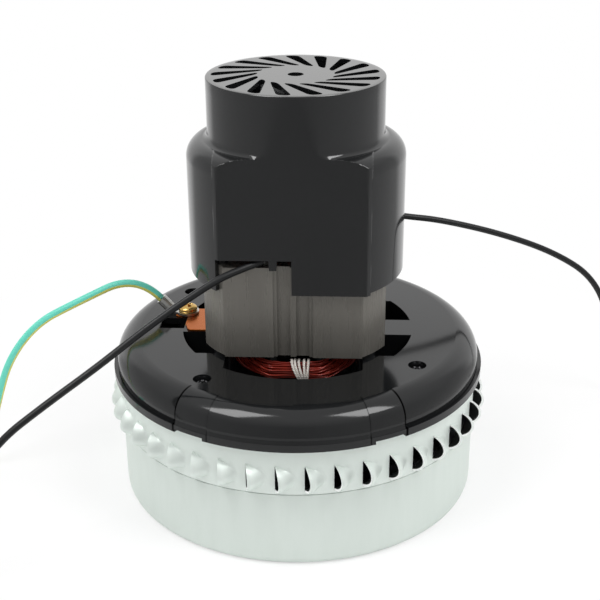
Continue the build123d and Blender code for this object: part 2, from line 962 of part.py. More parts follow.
def bell(radius, rounding):
    """A round form with a rounded top edge."""
    base = cover_bottom - overrun
    points = [(0, base), (radius, base), (radius, shoulder_height), (0, shoulder_height)]
    return turned(points, [0, 0, rounding, 0])


def hollow_bell(radius, rounding):
    """The hollow in such a form, with a bevelled top edge."""
    base = cover_bottom - overrun
    top = shoulder_height - cover_wall
    bevel = rounding * hollow_bevel_share
    return turned([(0, base), (radius, base), (radius, top - bevel), (radius - bevel, top), (0, top)])


def upright_slab(half_width, half_depth):
    """A rectangular block through the cover's full height."""
    base = cover_bottom - overrun
    return extrude(Pos(0, 0, base) * Rectangle(2 * half_width, 2 * half_depth), shoulder_height - base)


def cover_form():
    """The cover's lower form: a round skirt cut flat at front and back, with a wider block there."""
    skirt = bell(cover_radius, cover_round) & upright_slab(cover_radius, block_depth)
    slab = upright_slab(block_half_width, block_depth)
    slab = chamfer(slab.edges().filter_by(Axis.Z), block_bevel)
    return skirt + (slab & bell(hypot(block_half_width, block_depth), block_round))


def cover_hollow():
    """The hollow under the cover's shoulder."""
    radius = cover_radius - cover_wall
    half_width = block_half_width - block_side_wall
    half_depth = block_depth - block_wall
    skirt = hollow_bell(radius, cover_round) & upright_slab(radius, half_depth)
    slab = upright_slab(half_width, half_depth)
    return skirt + (slab & hollow_bell(hypot(half_width, half_depth), block_round))


def grille_slot():
    """One tapered slot of the grille, from its narrow inner end to its wide outer end."""
    outer_half = degrees(grille_wide / 2 / grille_outer)
    inner_half = degrees(grille_narrow / 2 / grille_inner)
    corners = [
        polar(grille_outer, -outer_half)[:2],
        polar(grille_outer, outer_half)[:2],
        polar(grille_inner, inner_half - grille_sweep)[:2],
        polar(grille_inner, -inner_half - grille_sweep)[:2],
    ]
    outline = make_face(FilletPolyline(*corners, radius=[grille_corner, grille_corner, 0, 0], close=True))
    return extrude(Pos(0, 0, cover_height - grille_wall - overrun) * outline, grille_wall + 2 * overrun)


def motor_cover():
    """The black cover, with its cap, grille, flat front and back, and the lead notches."""
    body = cover_form() + post(cap_radius, shoulder_height - cover_wall, cover_height)
    body -= post(cover_radius + block_depth, 0, cover_bottom)
    cap_hollow = post(cap_radius - cap_wall, shoulder_height - 2 * cover_wall, cover_height - grille_wall)
    body -= cover_hollow() + cap_hollow
    notch = block(
        (-block_half_width - overrun, notch_right),
        (-block_depth - overrun, -block_depth + block_wall + seat_gap),
        (cover_bottom - overrun, notch_height),
    )
    clip = block(
        (clip_x, clip_x + clip_width),
        (-block_depth, -block_depth + block_wall),
        (notch_height - clip_height, notch_height),
    )
    body = body.cut(*both_ends(notch), post(grille_hole_radius, shoulder_height, cover_height + overrun))
    body = body.cut(*around(grille_slot(), grille_slots, grille_phase))
    return body.fuse(*both_ends(clip))


def cooling_fan():
    """The open fan that cools the motor, with radial blades on a disc."""
    top = cooler_base + cooler_height
    disc = post(cooler_radius, cooler_base, cooler_base + cooler_wall)
    hub = post(cooler_hub_radius, cooler_base, cooler_base + cooler_wall)
    blade = block(
        (cooler_hub_radius, cooler_radius),
        (-cooler_wall / 2, cooler_wall / 2),
        (cooler_base + cooler_wall / 2, top),
    )
    body = disc.fuse(hub, *around(blade, cooler_blades))
    return body - post(shaft_radius + shaft_fit, cooler_base - overrun, top)


# Grounding

def ground_strap():
    """The copper strap from the stator's side to the screw on the left arm."""
    wall_x = -stator_width / 2 - seat_gap
    seat = bracket_top + seat_gap
    leg = block(
        (wall_x - strap_wall, wall_x),
        (ground_y - strap_width, ground_y),
        (seat, seat + strap_leg),
    )
    flat = block(
        (ground_x, wall_x),
        (ground_y - strap_width / 2 - strap_width / 4, ground_y + strap_width / 4),
        (seat, seat + strap_wall),
    )
    eye = post(ring_terminal_radius, seat, seat + strap_wall, ground_x, ground_y)
    hole = post(ground_screw_radius + seat_gap, seat - overrun, seat + overrun, ground_x, ground_y)
    return leg.fuse(flat, eye) - hole


def barrel_point(share):
    """A point along the leaning barrel of the ring terminal, from its foot to its mouth."""
    reach = share * barrel_length
    foot_x = ground_x - ring_terminal_radius - barrel_radius
    return (
        foot_x - reach * sin(radians(barrel_lean)),
        ground_y,
        ring_seat + barrel_radius * sin(radians(barrel_lean)) + reach * cos(radians(barrel_lean)),
    )


def ground_terminal():
    """The ring terminal of the ground lead, with its barrel bent up beside the screw."""
    top = ring_seat + ring_terminal_wall
    flat = post(ring_terminal_radius, ring_seat, top, ground_x, ground_y)
    sides = (ground_y - barrel_radius, ground_y + barrel_radius)
    neck = block((barrel_point(0)[0] - barrel_radius / 2, ground_x), sides, (ring_seat, top))
    barrel = straight_part(barrel_point(0), barrel_point(1), barrel_radius, 2 * lead_sides)
    hole = post(ground_screw_radius + seat_gap, ring_seat - overrun, ring_seat + overrun, ground_x, ground_y)
    return flat.fuse(neck, barrel) - hole


def ground_screw():
    """The brass screw that holds the ring terminal and the strap."""
    seat = ring_seat + ring_terminal_wall + seat_gap
    return round_screw(
        ground_x,
        ground_y,
        seat,
        ground_head_radius,
        ground_head_height,
        ground_screw_radius,
        bracket_top - ground_screw_depth + seat_gap,
    )


# Leads. Each route runs from its exit to its bare end on the floor, and its points are chosen by hand.

front_lead_route = [
    (-11.4, -30.2, 105.5),
    (-22.5, -36.3, 103.4),
    (-31.6, -41.2, 99.6),
    (-50.8, -51.3, 88.8),
    (-68.1, -60.4, 76.9),
    (-86.7, -70.2, 65.6),
    (-103.0, -78.8, 54.8),
    (-115.0, -85.2, 37.0),
    (-121.5, -89.0, 16.0),
    (-129.0, -93.2, 4.6),
    (-141.5, -99.4, 1.5),
    (-154.0, -105.0, 1.4),
]
rear_lead_route = [
    (11.4, 30.2, 105.5),
    (22.5, 36.3, 103.4),
    (32.0, 39.4, 100.4),
    (43.6, 42.2, 97.6),
    (59.8, 45.8, 94.8),
    (86.6, 51.9, 86.5),
    (111.8, 57.6, 75.6),
    (131.0, 61.9, 62.0),
    (141.0, 64.4, 40.0),
    (146.0, 66.0, 18.0),
    (154.5, 68.6, 4.8),
    (168.0, 72.8, 1.5),
    (182.0, 76.8, 1.4),
]


def straight_part(start, end, radius, sides):
    """A straight many-sided bar between two points."""
    run = Line(start, end)
    plane = Plane(origin=run @ 0, z_dir=run % 0)
    return extrude(plane * RegularPolygon(radius, sides), run.length)


def tangent_radii(points):
    """The radius of each bend of a route, as large as its two runs allow."""
    runs = [Vector(*b) - Vector(*a) for a, b in zip(points, points[1:])]
    rooms = [bend_room_share * run.length for run in runs]
    rooms[0] *= 2
    rooms[-1] *= 2
    radii = []
    for i in range(len(runs) - 1):
        half_turn = radians(runs[i].get_angle(runs[i + 1])) / 2
        radii.append(min(rooms[i], rooms[i + 1]) / tan(half_turn))
    return radii


def lead(name, points, radius):
    """A lead as one tube along its route, with the radii of its bends printed."""
    radii = tangent_radii(points)
    path = FilletPolyline(*points, radius=radii)
    plane = Plane(origin=path @ 0, z_dir=path % 0)
    section = RegularPolygon(radius, lead_sides)
    tube = sweep(plane * section, path)
    print(name, "length", round(path.length, 1), "bends", [round(r) for r in radii])
    print(name, "volume over section times length", round(tube.volume / (section.area * path.length), 4))
    return tube


def bare_end(points, radius):
    """The stripped end of a lead, in line with its last run."""
    last = Vector(*points[-1])
    way = (last - Vector(*points[-2])).normalized()
    start = last + way * seat_gap
    return straight_part(start, start + way * bare_length, radius * bare_radius_share, lead_sides)


def splice(points, radius):
    """The crimp that joins a lead to the motor's own wire, in line with its first run."""
    first = Vector(*points[0])
    way = (Vector(*points[1]) - first).normalized()
    end = first - way * seat_gap
    return straight_part(end - way * splice_length, end, radius + splice_wall, lead_sides)


ground_lead_route = [
    (-57.15, 9.8, 72.15),
    (-66.85, 9.8, 82.9),
    (-92.0, 1.6, 72.6),
    (-107.0, -1.8, 65.4),
    (-119.5, -4.2, 50.0),
    (-126.0, -5.6, 31.0),
    (-129.8, -6.7, 17.0),
    (-138.5, -8.6, 4.9),
    (-151.5, -10.6, 1.7),
    (-165.0, -12.6, 1.65),
]


# Writing the pieces

first_front, first_vanes, first_back = fan_wheel(first_fan_base, first_fan_depth)
second_front, second_vanes, second_back = fan_wheel(second_fan_base, second_fan_depth)
second_back_base = second_fan_top - fan_wall
washer_top = first_fan_top - fan_wall
nut_top = washer_top - washer_height

write("lower_fan_shell", lower_fan_shell())
write("upper_fan_shell", upper_fan_shell())
write("stationary_fan_plate", stationary_fan_plate())
write("return_vane_disc", return_vane_disc())
write("first_fan_front_plate", first_front)
write("first_fan_vanes", *first_vanes)
write("first_fan_back_plate", first_back)
write("second_fan_front_plate", second_front)
write("second_fan_vanes", *second_vanes)
write("second_fan_back_plate", second_back)
write("fan_spacer", shaft_spacer(first_fan_top, second_back_base))
write("bearing_spacer", shaft_spacer(second_fan_top, lower_bearing_base))
write("fan_washer", ring(washer_radius, shaft_radius + shaft_fit, nut_top, washer_top))
write("fan_nut", hex_nut(nut_top - nut_height, nut_height))
write("shaft", shaft())
write("lower_bearing_outer_race", bearing_outer(lower_bearing_base))
write("lower_bearing_inner_race", bearing_inner(lower_bearing_base))
write("upper_bearing_outer_race", bearing_outer(upper_bearing_base))
write("upper_bearing_inner_race", bearing_inner(upper_bearing_base))
write("fan_end_bracket", fan_end_bracket())
write("bracket_screws", *[
    Rot(0, 0, angle) * round_screw(
        screw_circle,
        0,
        bracket_top - screw_recess_depth,
        screw_head_radius,
        screw_head_height,
        screw_shank_radius,
        shell_top - shell_wall - screw_reach,
    )
    for angle in screw_angles()
])
write("bearing_retainer", bearing_retainer())
write("retainer_screws", *[
    round_screw(
        side * retainer_ear_x,
        0,
        lower_hub_top + retainer_wall,
        retainer_head_radius,
        retainer_head_height,
        retainer_screw_radius,
        lower_hub_top - retainer_screw_depth,
    )
    for side in (-1, 1)
])
write("stator_laminations", stator_laminations())
write("through_bolts", *through_bolts())
core = coil_core()
winding = coil_winding()
write("front_coil_core", core)
write("rear_coil_core", Rot(0, 0, 180) * core)
write("front_field_coil", winding)
write("rear_field_coil", Rot(0, 0, 180) * winding)
write("coil_lacing", *coil_lacing())
write("slot_liners", *slot_liners())
write("armature_core", armature_core())
write("armature_windings", *armature_windings())
write("commutator", commutator())
write("commutator_bracket", commutator_bracket())
write("right_brush_holder", brush_holder())
write("left_brush_holder", Rot(0, 0, 180) * brush_holder())
write("right_carbon_brush", carbon_brush())
write("left_carbon_brush", Rot(0, 0, 180) * carbon_brush())
write("right_brush_spring", brush_spring())
write("left_brush_spring", Rot(0, 0, 180) * brush_spring())
write("brush_terminals", *both_ends(brush_terminal()))
write("motor_cover", motor_cover())
write("cooling_fan", cooling_fan())
write("cooling_fan_nut", hex_nut(cooler_base + cooler_wall, cooler_nut_height))
write("ground_strap", ground_strap())
write("ground_terminal", ground_terminal())
write("ground_screw", ground_screw())
write("front_lead", lead("front lead", front_lead_route, lead_radius))
write("rear_lead", lead("rear lead", rear_lead_route, lead_radius))
write("ground_lead", lead("ground lead", ground_lead_route, ground_lead_radius))
write(
    "lead_ends",
    bare_end(front_lead_route, lead_radius),
    bare_end(rear_lead_route, lead_radius),
    bare_end(ground_lead_route, ground_lead_radius),
)
write("lead_splices", splice(front_lead_route, lead_radius), splice(rear_lead_route, lead_radius))
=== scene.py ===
"""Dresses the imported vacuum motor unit: its finishes, its wound and fine pieces, its leads and the studio."""

from __future__ import annotations

import json
import logging
import math
from dataclasses import dataclass
from enum import Enum, IntEnum
from typing import Sequence

import bmesh
import bpy
import numpy as np
from mathutils import Matrix, Vector

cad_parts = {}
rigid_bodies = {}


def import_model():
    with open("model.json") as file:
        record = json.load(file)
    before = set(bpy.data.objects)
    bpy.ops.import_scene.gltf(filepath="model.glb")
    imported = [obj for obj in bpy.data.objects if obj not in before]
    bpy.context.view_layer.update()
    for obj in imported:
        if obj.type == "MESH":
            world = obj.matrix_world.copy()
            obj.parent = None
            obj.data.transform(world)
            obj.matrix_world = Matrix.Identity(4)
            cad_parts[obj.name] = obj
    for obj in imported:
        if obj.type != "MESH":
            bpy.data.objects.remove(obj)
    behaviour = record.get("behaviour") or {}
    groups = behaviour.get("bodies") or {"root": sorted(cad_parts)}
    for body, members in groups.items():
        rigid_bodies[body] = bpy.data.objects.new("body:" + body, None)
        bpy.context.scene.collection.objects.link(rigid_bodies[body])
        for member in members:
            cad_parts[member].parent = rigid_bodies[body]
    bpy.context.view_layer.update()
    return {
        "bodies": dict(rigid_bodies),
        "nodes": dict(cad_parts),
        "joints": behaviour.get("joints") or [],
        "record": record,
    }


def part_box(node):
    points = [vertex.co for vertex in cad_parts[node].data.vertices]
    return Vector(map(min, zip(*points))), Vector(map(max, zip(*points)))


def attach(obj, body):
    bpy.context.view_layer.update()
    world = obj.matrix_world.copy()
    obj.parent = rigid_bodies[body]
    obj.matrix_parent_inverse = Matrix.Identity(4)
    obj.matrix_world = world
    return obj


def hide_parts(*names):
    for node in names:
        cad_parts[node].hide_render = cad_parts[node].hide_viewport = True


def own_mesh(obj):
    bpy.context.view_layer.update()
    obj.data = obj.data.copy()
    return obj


LOG = logging.getLogger("vacuum_motor")
MM = 0.001
FRAME_BODY = "motor_frame"
FULL_TURN = 2.0 * math.pi
GOLDEN_ANGLE = 2.39996
# Keeps a divisor off zero
TINY = 1e-6
# A wave texture's bands repeat after this length over its scale
BAND_PERIOD = 0.314
# Takes a shape at the front or the right to the rear or the left
HALF_TURN = np.array([-1.0, -1.0, 1.0])
BOX_FACES = np.array([[0, 3, 2, 1], [4, 5, 6, 7], [0, 1, 5, 4], [1, 2, 6, 5], [2, 3, 7, 6], [3, 0, 4, 7]])

Color = tuple[float, float, float]
Socket = bpy.types.NodeSocket
# Points in millimetres, and faces as rows of point indices
Surface = tuple[np.ndarray, Sequence]


# Shader helpers


def srgb(red: int, green: int, blue: int) -> Color:
    """Turns a colour as it shows on a screen, 0 to 255, into linear light."""
    share = np.array([red, green, blue]) / 255.0
    linear = np.where(share <= 0.04045, share / 12.92, ((share + 0.055) / 1.055) ** 2.4)
    return tuple(float(x) for x in linear)


class Nodes:
    """A small writer for the nodes of one material or node group."""

    def __init__(self, tree: bpy.types.NodeTree) -> None:
        """Keeps the node tree that the nodes go into."""
        self.tree = tree
        self.count = 0

    def add(self, kind: str, inputs: dict | None = None, **settings: object) -> bpy.types.Node:
        """Adds a node, with its settings and its inputs as values or as sockets to link.

        Args:
            kind: The node's type without its ShaderNode prefix, or its full type.
            inputs: Input name or index to a value or an output socket.
            **settings: The node's own properties.

        Returns:
            The node.
        """
        full = kind if kind.startswith("Node") else "ShaderNode" + kind
        node = self.tree.nodes.new(full)
        node.location = (220 * self.count, 0)
        self.count += 1
        for name, value in settings.items():
            setattr(node, name, value)
        for name, value in (inputs or {}).items():
            self.set(node.inputs[name], value)
        return node

    def set(self, socket: Socket, value: object) -> None:
        """Links an output to the socket, or sets its value.

        Args:
            socket: The input socket.
            value: An output socket, a number, a colour or a vector.
        """
        if isinstance(value, Socket):
            self.tree.links.new(value, socket)
        elif socket.type == "RGBA" and len(value) == 3:
            socket.default_value = (*value, 1.0)
        else:
            socket.default_value = value

    def math(self, operation: str, first: object, second: object = 0.0, third: object = 0.0) -> Socket:
        """Adds a Math node on values or sockets, and gives its result."""
        return self.add("Math", {0: first, 1: second, 2: third}, operation=operation).outputs[0]

    def vector(self, operation: str, *inputs: object) -> Socket:
        """Adds a Vector Math node on vectors or sockets, and gives its vector."""
        return self.add("VectorMath", dict(enumerate(inputs)), operation=operation).outputs[0]

    def length(self, vector: Socket) -> Socket:
        """Adds a Vector Math node that gives a vector's length."""
        return self.add("VectorMath", {0: vector}, operation="LENGTH").outputs["Value"]

    def mix(self, share: object, first: object, second: object) -> Socket:
        """Adds a colour mix.

        Args:
            share: How much of the second colour, a value or a socket.
            first: The first colour or socket.
            second: The second colour or socket.

        Returns:
            The colour's socket.
        """
        node = self.add("Mix", data_type="RGBA")
        self.set(node.inputs[0], share)
        self.set(node.inputs[6], first)
        self.set(node.inputs[7], second)
        return node.outputs[2]

    def blend(self, share: Socket, first: bpy.types.Node, second: bpy.types.Node) -> bpy.types.Node:
        """Adds a mix of two shaders, with this share of the second one."""
        return self.add("MixShader", {0: share, 1: first.outputs[0], 2: second.outputs[0]})

    def ramp(self, value: object, start: float, end: float, low: object = 0.0, high: object = 1.0) -> Socket:
        """Maps a value from start and end to low and high, values or sockets, and holds it there outside."""
        inputs = {"Value": value, "From Min": start, "From Max": end, "To Min": low, "To Max": high}
        return self.add("MapRange", inputs).outputs["Result"]


class SharedEffects:
    """The node groups that several finishes share, each built once."""

    def __init__(self) -> None:
        """Builds the groups."""
        self.grain = self._grain()
        self.draw_lines = self._draw_lines()
        self.scuffs = self._scuffs()

    @staticmethod
    def _group(name: str, inputs: dict[str, float], outputs: dict[str, str]) -> tuple:
        """Makes an empty group with a vector input.

        Args:
            name: The group's name.
            inputs: Name to default of each float input.
            outputs: Name to socket type of each output.

        Returns:
            The tree, its node writer, its input node and its output node.
        """
        tree = bpy.data.node_groups.new(name, "ShaderNodeTree")
        tree.interface.new_socket("Vector", in_out="INPUT", socket_type="NodeSocketVector")
        for label, value in inputs.items():
            socket = tree.interface.new_socket(label, in_out="INPUT", socket_type="NodeSocketFloat")
            socket.default_value = value
        for label, kind in outputs.items():
            tree.interface.new_socket(label, in_out="OUTPUT", socket_type=kind)
        nodes = Nodes(tree)
        return tree, nodes, nodes.add("NodeGroupInput"), nodes.add("NodeGroupOutput")

    def _grain(self) -> bpy.types.NodeTree:
        """Fine and broad noise for moulded and cast surfaces.

        Returns:
            The group, with Tone, Fine and Height outputs from 0 to 1.
        """
        outputs = {name: "NodeSocketFloat" for name in ("Tone", "Fine", "Height")}
        tree, nodes, given, out = self._group("moulded_grain", {"Scale": 300.0, "Broad": 20.0}, outputs)
        place, scale, wide = given.outputs[0], given.outputs["Scale"], given.outputs["Broad"]
        fine = nodes.add("TexNoise", {"Vector": place, "Scale": scale, "Detail": 4.0})
        broad = nodes.add("TexNoise", {"Vector": place, "Scale": wide, "Detail": 3.0})
        fine_share = 0.35
        both = nodes.math("MULTIPLY_ADD", fine.outputs[0], fine_share,
                          nodes.math("MULTIPLY", broad.outputs[0], 1.0 - fine_share))
        nodes.set(out.inputs["Tone"], broad.outputs[0])
        nodes.set(out.inputs["Fine"], fine.outputs[0])
        nodes.set(out.inputs["Height"], both)
        return tree

    def _draw_lines(self) -> bpy.types.NodeTree:
        """Streaks along one direction, as drawing, turning or brushing leaves on metal.

        Returns:
            The group, with Lines and Height outputs. Its Across and Along scales set the streaks' shape.
        """
        outputs = {"Lines": "NodeSocketFloat", "Height": "NodeSocketFloat"}
        tree, nodes, given, out = self._group("draw_lines", {"Across": 900.0, "Along": 12.0}, outputs)
        across, along = given.outputs["Across"], given.outputs["Along"]
        stretch = nodes.add("CombineXYZ", {0: across, 1: across, 2: along}).outputs[0]
        scaled = nodes.vector("MULTIPLY", given.outputs[0], stretch)
        noise = nodes.add("TexNoise", {"Vector": scaled, "Scale": 1.0, "Detail": 5.0, "Roughness": 0.6})
        nodes.set(out.inputs["Lines"], noise.outputs[0])
        nodes.set(out.inputs["Height"], noise.outputs[0])
        return tree

    def _scuffs(self) -> bpy.types.NodeTree:
        """Small scattered marks and dust specks.

        Returns:
            The group, with a Mask output that is 1 on a mark. A higher Cut leaves fewer marks.
        """
        tree, nodes, given, out = self._group(
            "scuffs_and_specks", {"Scale": 260.0, "Cut": 0.68}, {"Mask": "NodeSocketFloat"}
        )
        place, scale = given.outputs[0], given.outputs["Scale"]
        noise = nodes.add("TexNoise", {"Vector": place, "Scale": scale, "Detail": 6.0, "Roughness": 0.7})
        over = nodes.math("SUBTRACT", noise.outputs[0], given.outputs["Cut"])
        steepness = 14.0
        mask = nodes.add("Math", {0: over, 1: steepness}, operation="MULTIPLY", use_clamp=True)
        nodes.set(out.inputs["Mask"], mask.outputs[0])
        return tree


class Texture(Enum):
    """What marks a surface."""

    GRAIN = "the fine and broad noise of a mould or a casting"
    STREAKS = "the streaks of drawing, turning or brushing"


@dataclass(frozen=True)
class Finish:
    """One finish, from its plain values.

    Attributes:
        name: The material's name.
        color: Linear base colour.
        second: The colour that the grain or the streaks lead to.
        rough: Lowest and highest roughness.
        metallic: How far it is a metal.
        coat: Clear coat's weight.
        texture: What marks the surface.
        across: Scale of the fine grain, or of the streaks across.
        along: Scale of the broad grain, or of the streaks along.
        relief: Bump height in millimetres.
        speck: Colour of the scattered marks.
        speck_cut: How rare the marks are, or 1 for none.
        gloss: The shader's specular level.
    """

    name: str
    color: Color
    second: Color
    rough: tuple[float, float] = (0.3, 0.4)
    metallic: float = 0.0
    coat: float = 0.0
    texture: Texture = Texture.GRAIN
    across: float = 300.0
    along: float = 20.0
    relief: float = 0.01
    speck: Color = (0.5, 0.5, 0.5)
    speck_cut: float = 1.0
    gloss: float = 0.5

    def build(self, effects: SharedEffects) -> bpy.types.Material:
        """Makes the material.

        Args:
            effects: The shared node groups.

        Returns:
            The material.
        """
        material = bpy.data.materials.new(self.name)
        material.use_nodes = True
        material.node_tree.nodes.clear()
        nodes = Nodes(material.node_tree)
        place = nodes.add("TexCoord").outputs["Object"]
        value, height = self.pattern(nodes, place, effects)
        color = nodes.mix(value, self.color, self.second)
        if self.speck_cut < 1.0:
            marks = nodes.add("Group", {"Vector": place, "Cut": self.speck_cut}, node_tree=effects.scuffs)
            color = nodes.mix(marks.outputs["Mask"], color, self.speck)
        color = self.markings(nodes, place, color)
        bump = nodes.add("Bump", {"Height": height, "Distance": self.relief * MM, "Strength": 1.0})
        shader = nodes.add("BsdfPrincipled", {
            "Base Color": color,
            "Roughness": nodes.ramp(value, 0.0, 1.0, *self.rough),
            "Metallic": self.metal(nodes, place),
            "Coat Weight": self.coat,
            "Specular IOR Level": self.gloss,
            "Normal": bump.outputs[0],
        })
        out = nodes.add("OutputMaterial")
        nodes.set(out.inputs["Surface"], shader.outputs[0])
        return material

    def pattern(self, nodes: Nodes, place: Socket, effects: SharedEffects) -> tuple[Socket, Socket]:
        """Places the grain or the streaks.

        Args:
            nodes: The material's node writer.
            place: The coordinates.
            effects: The shared node groups.

        Returns:
            The value that changes the colour and roughness, and the height.
        """
        if self.texture is Texture.STREAKS:
            tree, across, along, value = effects.draw_lines, "Across", "Along", "Lines"
        else:
            tree, across, along, value = effects.grain, "Scale", "Broad", "Tone"
        group = nodes.add("Group", {"Vector": place, across: self.across, along: self.along}, node_tree=tree)
        return group.outputs[value], group.outputs["Height"]

    def markings(self, nodes: Nodes, place: Socket, color: Socket) -> Socket:
        """Keeps the colour so far. A finish with a pattern of its own changes it here."""
        return color

    def metal(self, nodes: Nodes, place: Socket) -> float | Socket:
        """Keeps the plain value. A finish with a pattern of its own changes it here."""
        return self.metallic


@dataclass(frozen=True)
class FlangePlastic(Finish):
    """The flange's plastic, with a dark painted shade line at the foot of each end of the raised pads, standing
    in for the shadow in the step's corner.

    Attributes:
        lines: Angle of each painted shade line from the front or the rear, and half its width, in degrees.
        start: How far from the axis the lines start, in millimetres.
        painted_shade_color: Colour of the painted shade lines. They are metallic, so a dark colour mirrors next
            to nothing and paints out the reflection there as well.
    """

    lines: tuple[tuple[float, float], ...] = ((35.0, 0.5), (23.45, 0.2))
    start: float = 64.0
    painted_shade_color: Color = (0.001, 0.001, 0.001)

    def on_painted_shade_line(self, nodes: Nodes, place: Socket) -> Socket:
        """Finds the painted shade lines from the angle round the axis and the distance to it.

        Args:
            nodes: The material's node writer.
            place: The coordinates.

        Returns:
            A mask that is 1 on a painted shade line.
        """
        flat = nodes.vector("MULTIPLY", place, (1.0, 1.0, 0.0))
        parts = nodes.add("SeparateXYZ", {0: flat}).outputs
        around = nodes.math("ARCTAN2", nodes.math("ABSOLUTE", parts[0]), nodes.math("ABSOLUTE", parts[1]))
        mask = 0.0
        for angle, half_width in self.lines:
            off = nodes.math("ABSOLUTE", nodes.math("SUBTRACT", around, math.radians(angle)))
            line = nodes.ramp(off, math.radians(half_width / 2), math.radians(half_width), 1.0, 0.0)
            mask = nodes.math("MAXIMUM", line, mask)
        return nodes.math("MULTIPLY", mask, nodes.math("GREATER_THAN", nodes.length(flat), self.start * MM))

    def markings(self, nodes: Nodes, place: Socket, color: Socket) -> Socket:
        """Paints shade on the lines by darkening them."""
        return nodes.mix(self.on_painted_shade_line(nodes, place), color, self.painted_shade_color)

    def metal(self, nodes: Nodes, place: Socket) -> float | Socket:
        """Makes the painted shade lines metallic, so that their dark colour mirrors next to nothing."""
        return self.on_painted_shade_line(nodes, place)


@dataclass(frozen=True)
class SheetStack(Finish):
    """The stator's edge, where hundreds of thin sheets show as fine level lines.

    Attributes:
        pitch: Thickness of one sheet, in millimetres.
        sheet_height: How far a sheet stands out, as a share of the relief.
        seam_level: Where on the wave from 0 to 1 the seam ends.
        seam_share: How much of the seam's colour shows.
        seam_color: Colour of the seam between two sheets.
    """

    pitch: float = 0.5
    sheet_height: float = 0.6
    seam_level: float = 0.25
    seam_share: float = 0.1
    seam_color: Color = (0.02, 0.02, 0.02)

    def sheets(self, nodes: Nodes, place: Socket) -> Socket:
        """Makes a wave from 0 to 1 that repeats with each sheet up the stack.

        Args:
            nodes: The material's node writer.
            place: The coordinates.

        Returns:
            The wave's socket.
        """
        inputs = {"Vector": place, "Scale": BAND_PERIOD / (self.pitch * MM), "Distortion": 0.0}
        wave = nodes.add("TexWave", inputs, wave_type="BANDS", bands_direction="Z", wave_profile="SIN")
        return wave.outputs[1]

    def pattern(self, nodes: Nodes, place: Socket, effects: SharedEffects) -> tuple[Socket, Socket]:
        """Takes the streaks for the colour and the sheets for the height."""
        value, _ = super().pattern(nodes, place, effects)
        return value, nodes.math("MULTIPLY", self.sheets(nodes, place), self.sheet_height)

    def markings(self, nodes: Nodes, place: Socket, color: Socket) -> Socket:
        """Darkens the seams between the sheets."""
        seam = nodes.math("LESS_THAN", self.sheets(nodes, place), self.seam_level)
        return nodes.mix(nodes.math("MULTIPLY", seam, self.seam_share), color, self.seam_color)


@dataclass(frozen=True)
class CapPlastic(Finish):
    """The cover's plastic, with a painted reflection: the grille's upward face is lightened where it mirrors
    the bright ceiling.

    Attributes:
        face: Height above which a face that looks up gets the painted reflection, in metres.
        upright: How much the face has to look up, as its normal's Z.
        painted_reflection_color: Colour of that face, lighter than the plastic, a painted reflection.
    """

    face: float = 0.168
    upright: float = 0.9
    painted_reflection_color: Color = (0.1, 0.1, 0.1)

    def markings(self, nodes: Nodes, place: Socket, color: Socket) -> Socket:
        """Paints a reflection on the grille's face by lightening it.

        Args:
            nodes: The material's node writer.
            place: The coordinates.
            color: The colour so far.

        Returns:
            The colour.
        """
        height = nodes.add("SeparateXYZ", {0: place}).outputs[2]
        facing = nodes.add("SeparateXYZ", {0: nodes.add("NewGeometry").outputs["Normal"]}).outputs[2]
        # The upward face above the grille's height takes the lighter colour, a painted reflection
        painted_reflection_mask = nodes.math("MULTIPLY", nodes.math("GREATER_THAN", height, self.face),
                             nodes.math("GREATER_THAN", facing, self.upright))
        return nodes.mix(painted_reflection_mask, color, self.painted_reflection_color)


@dataclass(frozen=True)
class StripedInsulation(Finish):
    """Insulation with one stripe that winds slowly round the lead, placed by the tube's own UV map.

    Attributes:
        stripe: The stripe's colour.
        width: The stripe's share of the way round.
        start: How far round the lead, back from its underside, the stripe starts, as a share.
        turns: Turns of the stripe along the whole lead.
    """

    stripe: Color = (0.5, 0.5, 0.1)
    width: float = 0.3
    start: float = 0.28
    turns: float = -0.3

    def markings(self, nodes: Nodes, place: Socket, color: Socket) -> Socket:
        """Paints the stripe where the way round, shifted along the lead, falls within its width.

        Args:
            nodes: The material's node writer.
            place: The coordinates.
            color: The colour so far.

        Returns:
            The colour.
        """
        parts = nodes.add("SeparateXYZ", {0: nodes.add("UVMap").outputs[0]})
        shifted = nodes.math("MULTIPLY_ADD", parts.outputs[0], self.turns,
                             nodes.math("ADD", parts.outputs[1], self.start))
        inside = nodes.math("LESS_THAN", nodes.math("FRACT", shifted), self.width)
        return nodes.mix(inside, color, self.stripe)


